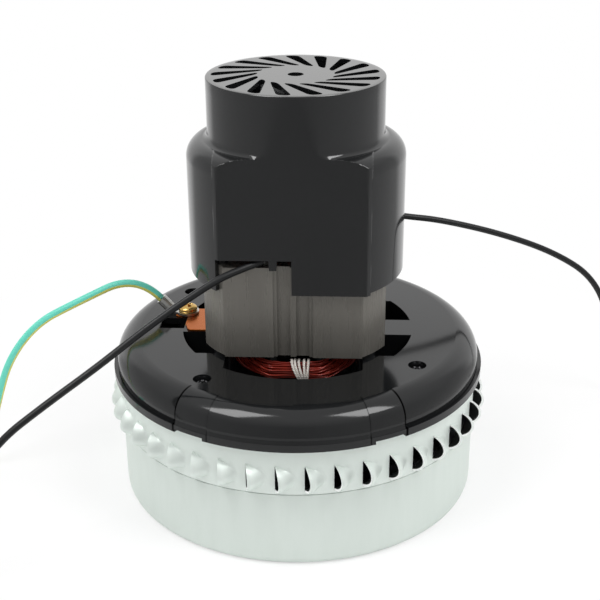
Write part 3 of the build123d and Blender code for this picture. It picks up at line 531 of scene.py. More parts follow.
class Finishes:
    """Every finish of the motor, by name."""

    def __init__(self) -> None:
        """Builds the shared effects and every material."""
        effects = SharedEffects()
        streaks = Texture.STREAKS
        drawn = {"metallic": 0.3, "texture": streaks, "across": 220.0, "along": 40.0, "relief": 0.004}
        turned = {"metallic": 1.0, "texture": streaks}
        moulded = {"across": 420.0, "along": 26.0, "speck": srgb(60, 60, 62), "speck_cut": 0.74}
        sheathed = {"across": 1500.0, "along": 90.0}
        black = (srgb(17, 18, 19), srgb(23, 24, 25))
        finishes = [
            Finish("shell_steel", srgb(206, 215, 209), srgb(217, 225, 220), (0.42, 0.54), **drawn),
            # A lighter copy of shell_steel for the louvred cup: painted light that lifts the band out of the
            # flange's shade
            Finish("louvre_steel_painted_light", srgb(216, 225, 219), srgb(225, 233, 228), (0.36, 0.46), **drawn),
            Finish("cut_edge", srgb(250, 252, 251), srgb(254, 255, 254), (0.35, 0.45)),
            # Painted shade: the louvres' inner sheet is given a dark colour so that their mouths look shadowed
            Finish("hood_inside_painted_shade", srgb(40, 44, 43), srgb(56, 60, 58), (0.5, 0.65)),
            Finish("plated_steel", srgb(176, 180, 182), srgb(190, 193, 195), (0.3, 0.45), 0.9,
                   texture=streaks),
            Finish("bearing_steel", srgb(186, 186, 190), srgb(204, 204, 207), (0.15, 0.25), **turned),
            # black_plastic paints a dark shade line at each end of the flange's raised pads
            FlangePlastic("black_plastic", *black, (0.08, 0.14), relief=0.006, **moulded),
            # cover_plastic lightens the grille's upward face, a painted reflection of the ceiling
            CapPlastic("cover_plastic", *black, (0.07, 0.12), relief=0.0025, gloss=0.65,
                       painted_reflection_color=srgb(84, 84, 83), **moulded),
            Finish("fan_plastic", srgb(120, 122, 123), srgb(134, 136, 137), (0.3, 0.4)),
            Finish("dark_plastic", srgb(34, 34, 36), srgb(44, 44, 46), (0.4, 0.55)),
            Finish("dark_screw_steel", srgb(66, 66, 68), srgb(84, 84, 86), (0.16, 0.26), 0.9),
            Finish("screw_steel", srgb(170, 170, 172), srgb(190, 190, 192), (0.25, 0.35), 1.0),
            SheetStack("lamination_steel", srgb(116, 113, 107), srgb(132, 129, 123), (0.24, 0.31), 0.5,
                       texture=streaks, across=260.0, along=18.0, relief=0.002, speck=srgb(215, 212, 206),
                       speck_cut=0.69),
            Finish("enamelled_wire", srgb(104, 18, 12), srgb(172, 52, 32), (0.14, 0.24), 0.35, coat=0.25,
                   across=900.0, along=160.0, relief=0.005),
            Finish("white_string", srgb(232, 228, 222), srgb(205, 198, 190), (0.7, 0.85), across=2400.0,
                   along=500.0, relief=0.08),
            Finish("liner_paper", srgb(214, 206, 180), srgb(196, 186, 158), (0.7, 0.8), relief=0.02),
            Finish("brass", srgb(205, 165, 90), srgb(222, 188, 120), (0.18, 0.3), **turned),
            Finish("spring_steel", srgb(178, 178, 180), srgb(196, 196, 198), (0.2, 0.3), 1.0),
            Finish("copper", srgb(178, 92, 36), srgb(192, 110, 50), (0.2, 0.34), **turned),
            Finish("tinned_metal", srgb(196, 196, 192), srgb(214, 214, 210), (0.25, 0.4), 1.0),
            Finish("black_insulation", srgb(18, 19, 20), srgb(26, 27, 28), (0.3, 0.4), gloss=0.35,
                   **sheathed),
            StripedInsulation("green_insulation", srgb(94, 204, 180), srgb(110, 216, 196), (0.34, 0.46),
                              stripe=srgb(214, 212, 104), **sheathed),
            Finish("fan_aluminium", srgb(206, 207, 210), srgb(220, 221, 224), (0.22, 0.34), **turned),
            Finish("shaft_steel", srgb(190, 190, 193), srgb(206, 206, 208), (0.16, 0.26), **turned),
            Finish("commutator_copper", srgb(212, 132, 84), srgb(226, 154, 106), (0.2, 0.3), **turned),
            Finish("carbon", srgb(52, 52, 54), srgb(66, 66, 68), (0.5, 0.65)),
        ]
        self.materials = {finish.name: finish.build(effects) for finish in finishes}

    def dress(self, piece: bpy.types.Object, name: str) -> None:
        """Gives a piece the named finish in every slot."""
        piece.data.materials.clear()
        piece.data.materials.append(self.materials[name])


# Mesh helpers


def mesh_object(name: str, points: np.ndarray, faces: Sequence, smooth: bool = True) -> bpy.types.Object:
    """Makes an object from points in millimetres and faces.

    Args:
        name: The object's name.
        points: An (n, 3) array in millimetres.
        faces: Rows of point indices.
        smooth: Whether it is shaded smooth.

    Returns:
        The object, at the origin.
    """
    mesh = bpy.data.meshes.new(name)
    rows = faces.tolist() if isinstance(faces, np.ndarray) else faces
    mesh.from_pydata((points * MM).tolist(), [], rows)
    mesh.validate()
    mesh.polygons.foreach_set("use_smooth", np.full(len(mesh.polygons), smooth))
    mesh.update()
    piece = bpy.data.objects.new(name, mesh)
    bpy.context.scene.collection.objects.link(piece)
    return piece


def grid_faces(rows: int, columns: int, close_rows: bool = False, close_columns: bool = False) -> np.ndarray:
    """Faces of a grid of points stored row by row: each quad joins a point to its neighbours.

    Args:
        rows: Points along the first direction.
        columns: Points along the second direction.
        close_rows: Whether the last row joins the first.
        close_columns: Whether the last column joins the first.

    Returns:
        An (m, 4) array of indices.
    """
    i, j = np.indices((rows if close_rows else rows - 1, columns if close_columns else columns - 1))
    i2, j2 = (i + 1) % rows, (j + 1) % columns
    quads = np.stack([i * columns + j, i * columns + j2, i2 * columns + j2, i2 * columns + j], axis=-1)
    return quads.reshape(-1, 4)


def capped_faces(rings: int, sides: int) -> list:
    """Faces of a row of rings, each ring closed, with one more face across either end.

    Args:
        rings: The number of rings.
        sides: Points of a ring.

    Returns:
        The faces.
    """
    last = (rings - 1) * sides
    faces = grid_faces(rings, sides, close_columns=True).tolist()
    return [*faces, list(range(sides))[::-1], list(range(last, last + sides))]


def polar(radius: object, angle: np.ndarray, height: object) -> np.ndarray:
    """Points (radius cos(angle), radius sin(angle), height), along one more axis of 3."""
    x, y = radius * np.cos(angle), radius * np.sin(angle)
    return np.stack([x, y, np.broadcast_to(height, x.shape)], axis=-1)


def box_corners(x: tuple[float, float], y: tuple[float, float], z: tuple[float, float]) -> np.ndarray:
    """The eight corners of an upright box between two limits a side, in the order that BOX_FACES takes."""
    plan = [(x[0], y[0]), (x[1], y[0]), (x[1], y[1]), (x[0], y[1])]
    return np.array([(*place, height) for height in z for place in plan])


def tube_points(
    path: np.ndarray, radius: float, sides: int, reference: Color, closed: bool = False
) -> np.ndarray:
    """Points of a tube: at each place on the path, a circle square to the path's direction.

    Args:
        path: An (n, 3) array of centre points.
        radius: The tube's radius.
        sides: Points round the tube.
        reference: A direction that the path never follows.
        closed: Whether the path is a loop.

    Returns:
        An (n * sides, 3) array.
    """
    if closed:
        along = np.roll(path, -1, axis=0) - np.roll(path, 1, axis=0)
    else:
        along = np.gradient(path, axis=0)
    along /= np.linalg.norm(along, axis=1, keepdims=True)
    side = np.cross(along, np.array(reference))
    side /= np.linalg.norm(side, axis=1, keepdims=True)
    up = np.cross(side, along)
    turn = np.linspace(0.0, FULL_TURN, sides, endpoint=False)
    ring = np.cos(turn)[None, :, None] * side[:, None, :] + np.sin(turn)[None, :, None] * up[:, None, :]
    return (path[:, None, :] + radius * ring).reshape(-1, 3)


def open_tube(path: np.ndarray, radius: float, sides: int, reference: Color = (0.0, 1.0, 0.0)) -> Surface:
    """A tube along a path, as in tube_points, with a face across each end."""
    return tube_points(path, radius, sides, reference), capped_faces(len(path), sides)


def looped_tube(path: np.ndarray, radius: float, sides: int, reference: Color) -> Surface:
    """A tube, as in tube_points, along a loop whose first point isn't repeated."""
    points = tube_points(path, radius, sides, reference, closed=True)
    return points, grid_faces(len(path), sides, close_rows=True, close_columns=True)


def join_parts(parts: Sequence[Surface]) -> Surface:
    """Joins several (points, faces) pairs into one.

    Args:
        parts: The pairs.

    Returns:
        All the points and all the faces.
    """
    faces: list = []
    total = 0
    for points, rows in parts:
        faces += [[index + total for index in row] for row in rows]
        total += len(points)
    return np.concatenate([points for points, _ in parts]), faces


def revolved(profile: np.ndarray, segments: int) -> Surface:
    """A closed profile of radius and height, turned once round the Z axis.

    Args:
        profile: An (n, 2) array of radius and height.
        segments: Steps round the axis.

    Returns:
        The points and the faces.
    """
    turn = np.linspace(0.0, FULL_TURN, segments, endpoint=False)
    points = polar(profile[:, 0], turn[:, None], profile[:, 1]).reshape(-1, 3)
    return points, grid_faces(segments, len(profile), close_rows=True, close_columns=True)


def rounded(corners: Sequence[tuple[float, float, float]], steps: int = 6) -> np.ndarray:
    """A closed profile whose corners are rounded, each by a curve between the points where its rounding ends.

    The curve is (1 - t)^2 a + 2 t (1 - t) corner + t^2 b, for t from 0 to 1.

    Args:
        corners: Radius, height and rounding of each corner.
        steps: Points on a rounding.

    Returns:
        An (n, 2) array.
    """
    places = np.array(corners)[:, :2]
    runs = []
    for index, (x, y, rounding) in enumerate(corners):
        here = np.array([x, y])
        if rounding == 0.0:
            runs.append(here[None])
            continue
        back, ahead = places[index - 1] - here, places[(index + 1) % len(places)] - here
        start = here + back / np.linalg.norm(back) * rounding
        end = here + ahead / np.linalg.norm(ahead) * rounding
        share = np.linspace(0.0, 1.0, steps)[:, None]
        runs.append((1 - share) ** 2 * start + 2 * share * (1 - share) * here + share**2 * end)
    return np.concatenate(runs)


def tidy_mesh(piece: bpy.types.Object, angle: float, weld: bool = False) -> None:
    """Turns a closed mesh's faces outwards and marks its sharp edges.

    Args:
        piece: The object.
        angle: Edges that bend by more than this many degrees are sharp.
        weld: Whether points at the same place are joined first.
    """
    same_place = 0.002
    work = bmesh.new()
    work.from_mesh(piece.data)
    if weld:
        bmesh.ops.remove_doubles(work, verts=work.verts, dist=same_place * MM)
    bmesh.ops.recalc_face_normals(work, faces=work.faces)
    work.to_mesh(piece.data)
    work.free()
    piece.data.polygons.foreach_set("use_smooth", np.ones(len(piece.data.polygons), dtype=bool))
    piece.data.set_sharp_from_angle(angle=math.radians(angle))
    piece.data.update()


def round_edges(
    piece: bpy.types.Object, width: float, steps: int, angle: float = 30.0, harden: bool = True
) -> None:
    """Rounds a piece's edges with a bevel.

    Args:
        piece: The object.
        width: The bevel's width in millimetres.
        steps: Faces across the bevel.
        angle: Edges that bend by more than this many degrees are rounded.
        harden: Whether the faces beside the bevel keep their flat shading.
    """
    edge = piece.modifiers.new("edge_rounding", "BEVEL")
    edge.width = width * MM
    edge.segments = steps
    edge.limit_method = "ANGLE"
    edge.angle_limit = math.radians(angle)
    edge.harden_normals = harden


# Leads


@dataclass
class Lead:
    """One free lead, from its exit to its stripped end on the floor.

    Attributes:
        name: The piece's name.
        node: The CAD node that it replaces.
        finish: The insulation's finish.
        radius: Its radius in millimetres.
        length: Its real length in metres.
        route: The route's points in millimetres.
        striped: Whether the insulation has a stripe that follows it.
        bare_length: Length of the stripped end.
        bare_share: Radius of the stripped end, as a share of the lead's.
    """

    name: str
    node: str
    finish: str
    radius: float
    length: float
    route: list[Color]
    striped: bool = False
    bare_length: float = 9.0
    bare_share: float = 0.7

    def spline(self) -> bpy.types.Object:
        """Makes the smooth line through the route's control points.

        Returns:
            A curve object with one NURBS spline.
        """
        curve = bpy.data.curves.new(self.name, "CURVE")
        curve.dimensions = "3D"
        curve.resolution_u = 12
        line = curve.splines.new("NURBS")
        line.points.add(len(self.route) - 1)
        for point, place in zip(line.points, self.route):
            point.co = (*[x * MM for x in place], 1.0)
        line.order_u = 3
        line.use_endpoint_u = True
        piece = bpy.data.objects.new(self.name, curve)
        bpy.context.scene.collection.objects.link(piece)
        return piece

    def line_points(self) -> np.ndarray:
        """Reads the points of the smooth line, in millimetres.

        Returns:
            An (n, 3) array.
        """
        guide = self.spline()
        line = bpy.data.meshes.new_from_object(guide)
        places = np.zeros(len(line.vertices) * 3)
        line.vertices.foreach_get("co", places)
        curve = guide.data
        bpy.data.objects.remove(guide)
        bpy.data.curves.remove(curve)
        bpy.data.meshes.remove(line)
        return places.reshape(-1, 3) / MM

    def striped_tube(self) -> tuple[bpy.types.Object, np.ndarray]:
        """Makes the lead as a closed tube with a UV map: U runs along it, V once round it.

        Returns:
            The object and the points that it follows, in millimetres.
        """
        path = self.line_points()
        sides = 20
        piece = mesh_object(self.name, *open_tube(path, self.radius, sides))
        layer = piece.data.uv_layers.new(name="along_and_round")
        corners = np.zeros(len(piece.data.loops), dtype=int)
        piece.data.loops.foreach_get("vertex_index", corners)
        along = (corners // sides) / (len(path) - 1)
        round_share = (corners % sides) / sides
        starts = np.zeros(len(piece.data.polygons), dtype=int)
        totals = np.zeros(len(piece.data.polygons), dtype=int)
        piece.data.polygons.foreach_get("loop_start", starts)
        piece.data.polygons.foreach_get("loop_total", totals)
        owner = np.repeat(np.arange(len(starts)), totals)
        # A face across the seam has corners at both ends of the way round, and its low ones move up by a turn
        highest = np.maximum.reduceat(round_share, starts)[owner]
        round_share = np.where((highest > 0.9) & (round_share < 0.1), round_share + 1.0, round_share)
        layer.data.foreach_set("uv", np.stack([along, round_share], axis=1).ravel())
        return piece, path

    def strands(self, finishes: Finishes) -> bpy.types.Object:
        """Makes the stripped end: strands that twist round one more, in line with the lead's last run.

        Args:
            finishes: The finishes.

        Returns:
            The end.
        """
        # How far inside the insulation the strands start, and the outer strands' number and turns
        bite, outer, turns = 0.15, 6, 1.2
        last = np.array(self.route[-1])
        way = last - np.array(self.route[-2])
        way /= np.linalg.norm(way)
        side = np.cross(way, (0.0, 0.0, 1.0))
        side /= np.linalg.norm(side)
        up = np.cross(side, way)
        share = np.linspace(0.0, 1.0, 25)
        core = last + way * (self.bare_length * share[:, None] - bite)
        strand = self.radius * self.bare_share / 3.0
        parts = []
        for index in range(outer + 1):
            turn = FULL_TURN * (share * turns + index / outer)
            off = 0.0 if index == outer else 2.0 * strand
            path = core + off * (np.cos(turn)[:, None] * side + np.sin(turn)[:, None] * up)
            parts.append(open_tube(path, strand, 8, tuple(up)))
        end = mesh_object(f"{self.node}_strands", *join_parts(parts))
        tidy_mesh(end, 50.0)
        finishes.dress(end, "tinned_metal")
        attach(end, FRAME_BODY)
        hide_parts("lead_ends")
        return end

    def build(self, finishes: Finishes) -> None:
        """Makes the lead and dresses it, and gathers its facts in a table that nothing reads.

        Args:
            finishes: The finishes.
        """
        facts = {
            "exit": tuple(x * MM for x in self.route[0]),
            "length": self.length,
            "diameter": 2 * self.radius * MM,
            "far_end": "bare",
            "stiffness": "medium",
            "lay": "loose",
            "with_pieces": [self.strands(finishes)],
        }
        if self.striped:
            piece, path = self.striped_tube()
            facts["path"] = (path * MM).tolist()
        else:
            piece = self.spline()
            piece.data.bevel_depth = self.radius * MM
            piece.data.bevel_resolution = 4
            piece.data.use_fill_caps = True
        finishes.dress(piece, self.finish)
        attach(piece, FRAME_BODY)
        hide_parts(self.node)
        LOG.info("%s built", self.name)


LEADS = [
    Lead(
        "front_lead_insulation", "front_lead", "black_insulation", 1.35, 0.202,
        [
            (-11.4, -30.2, 105.5), (-22.5, -36.3, 103.4), (-31.6, -41.2, 99.6), (-50.8, -51.3, 88.8),
            (-68.1, -60.4, 76.9), (-86.7, -70.2, 65.6), (-103.0, -78.8, 54.8), (-115.0, -85.2, 37.0),
            (-121.5, -89.0, 16.0), (-129.0, -93.2, 4.6), (-141.5, -99.4, 1.5), (-154.0, -105.0, 1.4),
        ],
    ),
    Lead(
        "rear_lead_insulation", "rear_lead", "black_insulation", 1.35, 0.223,
        [
            (11.4, 30.2, 105.5), (22.5, 36.3, 103.4), (32.0, 39.4, 100.4), (43.6, 42.2, 97.6),
            (59.8, 45.8, 94.8), (86.6, 51.9, 86.5), (111.8, 57.6, 75.6), (131.0, 61.9, 62.0),
            (141.0, 64.4, 40.0), (146.0, 66.0, 18.0), (154.5, 68.6, 4.8), (168.0, 72.8, 1.5),
            (182.0, 76.8, 1.4),
        ],
    ),
    Lead(
        "ground_lead_insulation", "ground_lead", "green_insulation", 1.6, 0.152,
        [
            (-57.15, 9.8, 72.15), (-66.85, 9.8, 82.9), (-92.0, 1.6, 72.6), (-107.0, -1.8, 65.4),
            (-119.5, -4.2, 50.0), (-126.0, -5.6, 31.0), (-129.8, -6.7, 17.0), (-138.5, -8.6, 4.9),
            (-151.5, -10.6, 1.7), (-165.0, -12.6, 1.65),
        ],
        striped=True,
    ),
]


# Field coils


@dataclass
class FieldCoils:
    """The two saddle coils of fine enamelled wire, and the string round their lower ends.

    Attributes:
        leg_angle: Half the angle between a coil's legs.
        leg_radius: Distance of a leg from the axis.
        low: Height of the lower end turn's middle.
        high: Height of the upper end turn's middle.
        depth_low: Distance of the lower end turn's middle from the axis.
        depth_high: The same for the upper end turn.
        bundle: Radius of the bundle.
        wire: Radius of one wire.
        turns: Turns that show.
        seed: Seed of the wires' small strays.
        squareness: Power that squares the loop's corners, where 1 leaves an ellipse.
        crown_half: Half the width over which an end turn keeps its full depth.
        crown_power: How fast the depth falls beside it.
        end_height: Height over which the bundle turns from a leg into an end turn.
        pinch: Share of its width that the bundle loses under the string.
        pinch_width: How far along the end turn the string draws it in.
        strays: Size and number of the slow waves that each wire makes across and along the depth.
        swirl: How far each wire drifts round the bundle, in radians.
        bands: Middle and lean of each string band, along the end turn.
        band_room: Distance of the bands from the bundle, along the depth and the height.
        string: Radius of one strand of string.
        string_twist: Distance of a strand from its band's line.
        string_turns: Turns of a band's pair of strands round each other.
    """

    leg_angle: float = 58.0
    leg_radius: float = 29.0
    low: float = 59.6
    high: float = 112.0
    depth_low: float = 28.7
    depth_high: float = 27.4
    bundle: float = 3.7
    wire: float = 0.36
    turns: int = 48
    seed: int = 7
    squareness: float = 0.42
    crown_half: float = 9.0
    crown_power: float = 1.25
    end_height: float = 4.0
    pinch: float = 0.35
    pinch_width: float = 5.0
    strays: tuple[tuple[float, float], ...] = ((0.75, 5.0), (0.6, 4.0))
    swirl: float = 0.5
    bands: tuple[tuple[float, float], ...] = ((1.1, -2.0), (2.0, -1.7), (3.2, -1.4), (4.4, -0.5), (5.4, 0.2))
    band_room: tuple[float, float] = (0.35, 0.45)
    string: float = 0.3
    string_twist: float = 0.26
    string_turns: float = 13.0

    def centre_line(self, share: np.ndarray) -> tuple[np.ndarray, np.ndarray, np.ndarray]:
        """The middle of the bundle: a rounded rectangle bent round the axis.

        With a = 2 pi share, the way across is cos(a) and the way up is sin(a), each to a small power that
        keeps its sign. The depth follows the width.

        Args:
            share: Places along the loop, 0 to 1.

        Returns:
            The sideways place, the depth and the height, in millimetres.
        """
        turn = FULL_TURN * share
        across = np.sign(np.cos(turn)) * np.abs(np.cos(turn)) ** self.squareness
        rise = np.sign(np.sin(turn)) * np.abs(np.sin(turn)) ** self.squareness
        half_x = self.leg_radius * math.sin(math.radians(self.leg_angle))
        leg_depth = self.leg_radius * math.cos(math.radians(self.leg_angle))
        x = half_x * across
        crown = np.where(rise < 0, self.depth_low, self.depth_high)
        beside = np.clip((np.abs(x) - self.crown_half) / (half_x - self.crown_half), 0.0, 1.0)
        depth = leg_depth + (crown - leg_depth) * (1.0 - beside**self.crown_power)
        z = (self.low + self.high) / 2 + (self.high - self.low) / 2 * rise
        return x, depth, z

    def winding(self) -> Surface:
        """All turns of the front coil.

        Each wire keeps its place in the bundle's round section, a sunflower pattern of angle and distance,
        and strays from it along slow waves. The bundle draws in at the string and spreads beside it.

        Returns:
            The points and the faces, in millimetres.
        """
        rng = np.random.default_rng(self.seed)
        steps = 200
        share = (np.arange(steps) + 0.5) / steps
        x, depth, z = self.centre_line(share)
        middle, half_height = (self.low + self.high) / 2, (self.high - self.low) / 2
        at_end = np.clip((np.abs(z - middle) - half_height + self.end_height) / self.end_height, 0.0, 1.0)
        outward_x, outward_z = np.sign(x) * (1.0 - at_end), np.sign(z - middle) * at_end
        length = np.hypot(outward_x, outward_z)
        spread = 1.0 - self.pinch * np.exp(-((x / self.pinch_width) ** 2)) * (z < middle)
        parts = []
        for index in range(self.turns):
            place = math.sqrt((index + 0.5) / self.turns) * (self.bundle - self.wire)
            phase = rng.uniform(0.0, FULL_TURN, 4)
            stray_across, stray_deep = (
                size * np.sin(FULL_TURN * share * waves + start)
                for (size, waves), start in zip(self.strays, phase)
            )
            angle = index * GOLDEN_ANGLE + self.swirl * np.sin(FULL_TURN * share + phase[2])
            widen = (place * np.cos(angle) + stray_across) * spread
            deepen = (place * np.sin(angle) + stray_deep) * spread
            path = np.stack([
                x + widen * outward_x / length,
                -(depth + deepen),
                z + widen * outward_z / length,
            ], axis=1)
            parts.append(looped_tube(path, self.wire, 6, (0.02, 1.0, 0.01)))
        return join_parts(parts)

    def lacing(self) -> Surface:
        """The string bands at the front coil's lower end: twisted pairs of strands wound round the bundle.

        A band is a circle round the bundle in the YZ plane. Each strand of its pair circles the band's line
        a small distance from it, many times round.

        Returns:
            The points and the faces, in millimetres.
        """
        steps = 160
        turn = FULL_TURN * ((np.arange(steps) + 0.5) / steps)
        radius_y, radius_z = (self.bundle + room for room in self.band_room)
        parts = []
        for middle, lean in self.bands:
            core = np.stack([
                middle + lean * np.sin(turn),
                -self.depth_low - radius_y * np.cos(turn),
                self.low + radius_z * np.sin(turn),
            ], axis=1)
            for start in (0.0, math.pi):
                twist = self.string_turns * turn + start
                path = core + self.string_twist * np.stack([
                    np.cos(twist), -np.sin(twist) * np.cos(turn), np.sin(twist) * np.sin(turn),
                ], axis=1)
                parts.append(looped_tube(path, self.string, 6, (1.0, 0.013, 0.021)))
        return join_parts(parts)

    def build(self, finishes: Finishes) -> None:
        """Makes both coils and both sets of string bands.

        Args:
            finishes: The finishes.
        """
        points, faces = self.winding()
        strings, string_faces = self.lacing()
        for side, factor in (("front", np.ones(3)), ("rear", HALF_TURN)):
            coil = mesh_object(f"{side}_coil_wires", points * factor, faces)
            finishes.dress(coil, "enamelled_wire")
            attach(coil, FRAME_BODY)
            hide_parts(f"{side}_field_coil", f"{side}_coil_core")
            LOG.info("%s coil built with %d turns", side, self.turns)
        both = join_parts([(strings, string_faces), (strings * HALF_TURN, string_faces)])
        string = mesh_object("coil_string", *both)
        finishes.dress(string, "white_string")
        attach(string, FRAME_BODY)
        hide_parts("coil_lacing")
        LOG.info("string bands built")


# Fan shells


@dataclass
class LowerShell:
    """The lower cup: a plain drawn wall, a soft lower edge and the rolled inlet eye.

    Attributes:
        radius: Outer radius.
        wall: Thickness of the sheet.
        height: Height of the rim.
        corner: Rounding of the lower edge.
        eye: Radius of the inlet.
        curl: Depth of the curl round the inlet.
        lip: Height of the straight lip inside the curl.
    """

    radius: float = 72.4
    wall: float = 0.9
    height: float = 31.0
    corner: float = 3.4
    eye: float = 24.0
    curl: float = 2.6
    lip: float = 1.4

    def build(self, finishes: Finishes) -> None:
        """Makes the cup.

        Args:
            finishes: The finishes.
        """
        inner = self.radius - self.wall
        # Radius, height and rounding of each corner
        profile = rounded([
            (self.radius, 0.0, self.corner),
            (self.radius, self.height, 0.35),
            (inner, self.height, 0.3),
            (inner, self.wall, self.corner - self.wall),
            (self.eye + self.curl + self.wall, self.wall, 0.0),
            (self.eye + self.wall, self.curl, 0.4),
            (self.eye + self.wall, self.curl + self.lip, 0.3),
            (self.eye, self.curl + self.lip, 0.3),
            (self.eye, self.curl, 0.8),
            (self.eye + self.curl, 0.0, 0.8),
        ])
        cup = mesh_object("lower_shell_cup", *revolved(profile, 240))
        tidy_mesh(cup, 50.0)
        finishes.dress(cup, "shell_steel")
        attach(cup, FRAME_BODY)
        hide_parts("lower_fan_shell")
        LOG.info("lower shell built")


class SheetSide(IntEnum):
    """The sides of the louvres' sheet, in the order of the cup's materials."""

    OUTER = 0
    CUT = 1
    INNER = 2


@dataclass
class LouvredShell:
    """The upper cup, whose wall is slit and pressed out into a ring of hooded louvres.

    Attributes:
        radius: Outer radius of the plain wall.
        wall: Thickness of the plain wall.
        low: Height of the wall's lower edge.
        high: Height of the top.
        count: Louvres in the ring.
        phase: Direction of the first slit, in degrees.
        lean: How far a mouth leans back, as a share of how far it stands out.
        mouth_low: Height of a mouth's lower end.
        mouth_high: Height of a mouth's upper end.
        tail_share: Height of the hood's tail, as a share of the mouth's.
        belly_share: Height at which the mouth is widest, as a share of the mouth's.
        length: Length of a hood along the wall.
        proud: How far a mouth stands out.
        sheet: How much smaller the hood's inside is than its outside.
        least: Half the height that is left of the hood at its tail.
        least_inside: The same inside, where the sheet's thickness takes from it.
        spigot_radius: Outer radius of the ring that sits in the lower cup.
        spigot_low: Height of that ring's lower edge.
        seal_radius: Radius of the hole in the top.
        hood_columns: Columns along a hood.
        gap_columns: Columns of plain wall up to the next one.
        hood_rows: Rows up a hood.
        plain_rows: Rows of plain wall under and over it.
    """

    radius: float = 72.4
    wall: float = 0.9
    low: float = 31.3
    high: float = 50.4
    count: int = 42
    phase: float = -93.9
    lean: float = 0.4
    mouth_low: float = 32.6
    mouth_high: float = 43.2
    tail_share: float = 0.6
    belly_share: float = 0.42
    length: float = 8.2
    proud: float = 4.5
    sheet: float = 0.45
    least: float = 0.5
    least_inside: float = 0.2
    spigot_radius: float = 71.2
    spigot_low: float = 27.4
    seal_radius: float = 8.0
    hood_columns: int = 15
    gap_columns: int = 5
    hood_rows: int = 20
    plain_rows: int = 4

    def cell_layer(self, inset: float) -> np.ndarray:
        """One louvre's part of the wall, as arc length, radius and height on a grid.

        Along the wall, u runs from 0 at the slit to 1 at the hood's tail. The hood's upper edge falls in a
        near straight line to the tail, (1 - u)^0.75, and its lower edge follows a quarter ellipse. Between
        them, t runs from 0 to 1 upwards, and the wall stands out by proud (1 + cos(pi u^1.2)) / 2 times a
        D-shaped section, 1 - s^2.1 below the belly and 1 - s^1.8 above it, where s is the distance from the
        belly as a share of the way to the edge. The section softens towards the tail. The mouth leans back
        from the slit by a share of how far it stands out.

        Args:
            inset: How far the layer lies inside the sheet's outer face, in millimetres.

        Returns:
            An array of columns by rows by 3: arc length from the slit, radius and height.
        """
        pitch = FULL_TURN * self.radius / self.count
        share = np.sin(np.linspace(0.0, math.pi / 2, self.hood_columns)) ** 0.9
        gap = np.linspace(0.0, 1.0, self.gap_columns + 1)[1:]
        along = np.concatenate([share * self.length, self.length + gap * (pitch - self.length)])
        u = np.concatenate([share, np.ones(len(gap))])
        tail = self.mouth_low + self.tail_share * (self.mouth_high - self.mouth_low)
        over_tail, under_tail = self.mouth_high - tail, tail - self.mouth_low
        rise = np.maximum(over_tail * (1.0 - u) ** 0.75, self.least)
        drop = np.maximum(under_tail * np.sqrt(1.0 - u**2), self.least)
        rise[self.hood_columns:] = self.least + gap * (over_tail - self.least)
        drop[self.hood_columns:] = self.least + gap * (under_tail - self.least)
        rise, drop = (np.maximum(edge - inset, self.least_inside) for edge in (rise, drop))
        t = 0.5 - 0.5 * np.cos(np.linspace(0.0, math.pi, self.hood_rows))
        inside = (tail - drop)[:, None] + t * (rise + drop)[:, None]
        plain = np.linspace(0.0, 1.0, self.plain_rows + 1)
        under = self.low + plain[:-1] * (inside[:, :1] - self.low)
        over = inside[:, -1:] + plain[1:] * (self.high - inside[:, -1:])
        z = np.concatenate([under, inside, over], axis=1)
        lower = np.clip((self.belly_share - t) / self.belly_share, 0.0, 1.0)
        upper = np.clip((t - self.belly_share) / (1.0 - self.belly_share), 0.0, 1.0)
        soft = (0.5 + 0.7 * u)[:, None]
        below, above = (1.0 - lower**2.1) ** soft, (1.0 - upper**1.8) ** (soft + 0.15)
        section = np.where(t < self.belly_share, below, above)
        bulge = 0.5 + 0.5 * np.cos(math.pi * u**1.2)
        out = np.zeros_like(z)
        out[:, self.plain_rows:self.plain_rows + self.hood_rows] = self.proud * bulge[:, None] * section
        radius = self.radius + out - (self.wall if inset else 0.0)
        return np.stack([along[:, None] + self.lean * out * (1.0 - u)[:, None], radius, z], axis=-1)

    def band(self) -> tuple[np.ndarray, np.ndarray, np.ndarray]:
        """The whole ring of louvres, with the sheet's thickness at the slits and at the two edges.

        Returns:
            The points, the faces and the SheetSide of each face.
        """
        turn = np.radians(self.phase) + FULL_TURN * np.arange(self.count) / self.count
        layers = []
        for inset in (0.0, self.sheet):
            cell = self.cell_layer(inset)[None]
            layers.append(polar(cell[..., 1], turn[:, None, None] + cell[..., 0] / self.radius, cell[..., 2]))
        columns, rows = layers[0].shape[1:3]
        size = self.count * columns * rows
        outer, inner = np.arange(2 * size).reshape(2, self.count, columns, rows)
        corners = [
            (SheetSide.OUTER, (outer[:, :-1, :-1], outer[:, 1:, :-1], outer[:, 1:, 1:], outer[:, :-1, 1:])),
            (SheetSide.INNER, (inner[:, :-1, :-1], inner[:, 1:, :-1], inner[:, 1:, 1:], inner[:, :-1, 1:])),
        ]
        for row in (0, rows - 1):
            corners.append((SheetSide.OUTER, (outer[:, :-1, row], inner[:, :-1, row], inner[:, 1:, row],
                                              outer[:, 1:, row])))
        mouth = slice(self.plain_rows, self.plain_rows + self.hood_rows - 1)
        after = slice(self.plain_rows + 1, self.plain_rows + self.hood_rows)
        for column in (0, columns - 1):
            corners.append((SheetSide.CUT, (outer[:, column, mouth], outer[:, column, after],
                                            inner[:, column, after], inner[:, column, mouth])))
        faces = [np.stack(places, axis=-1).reshape(-1, 4) for _, places in corners]
        sides = np.repeat([side for side, _ in corners], [len(quads) for quads in faces])
        return np.concatenate([layer.reshape(-1, 3) for layer in layers]), np.concatenate(faces), sides

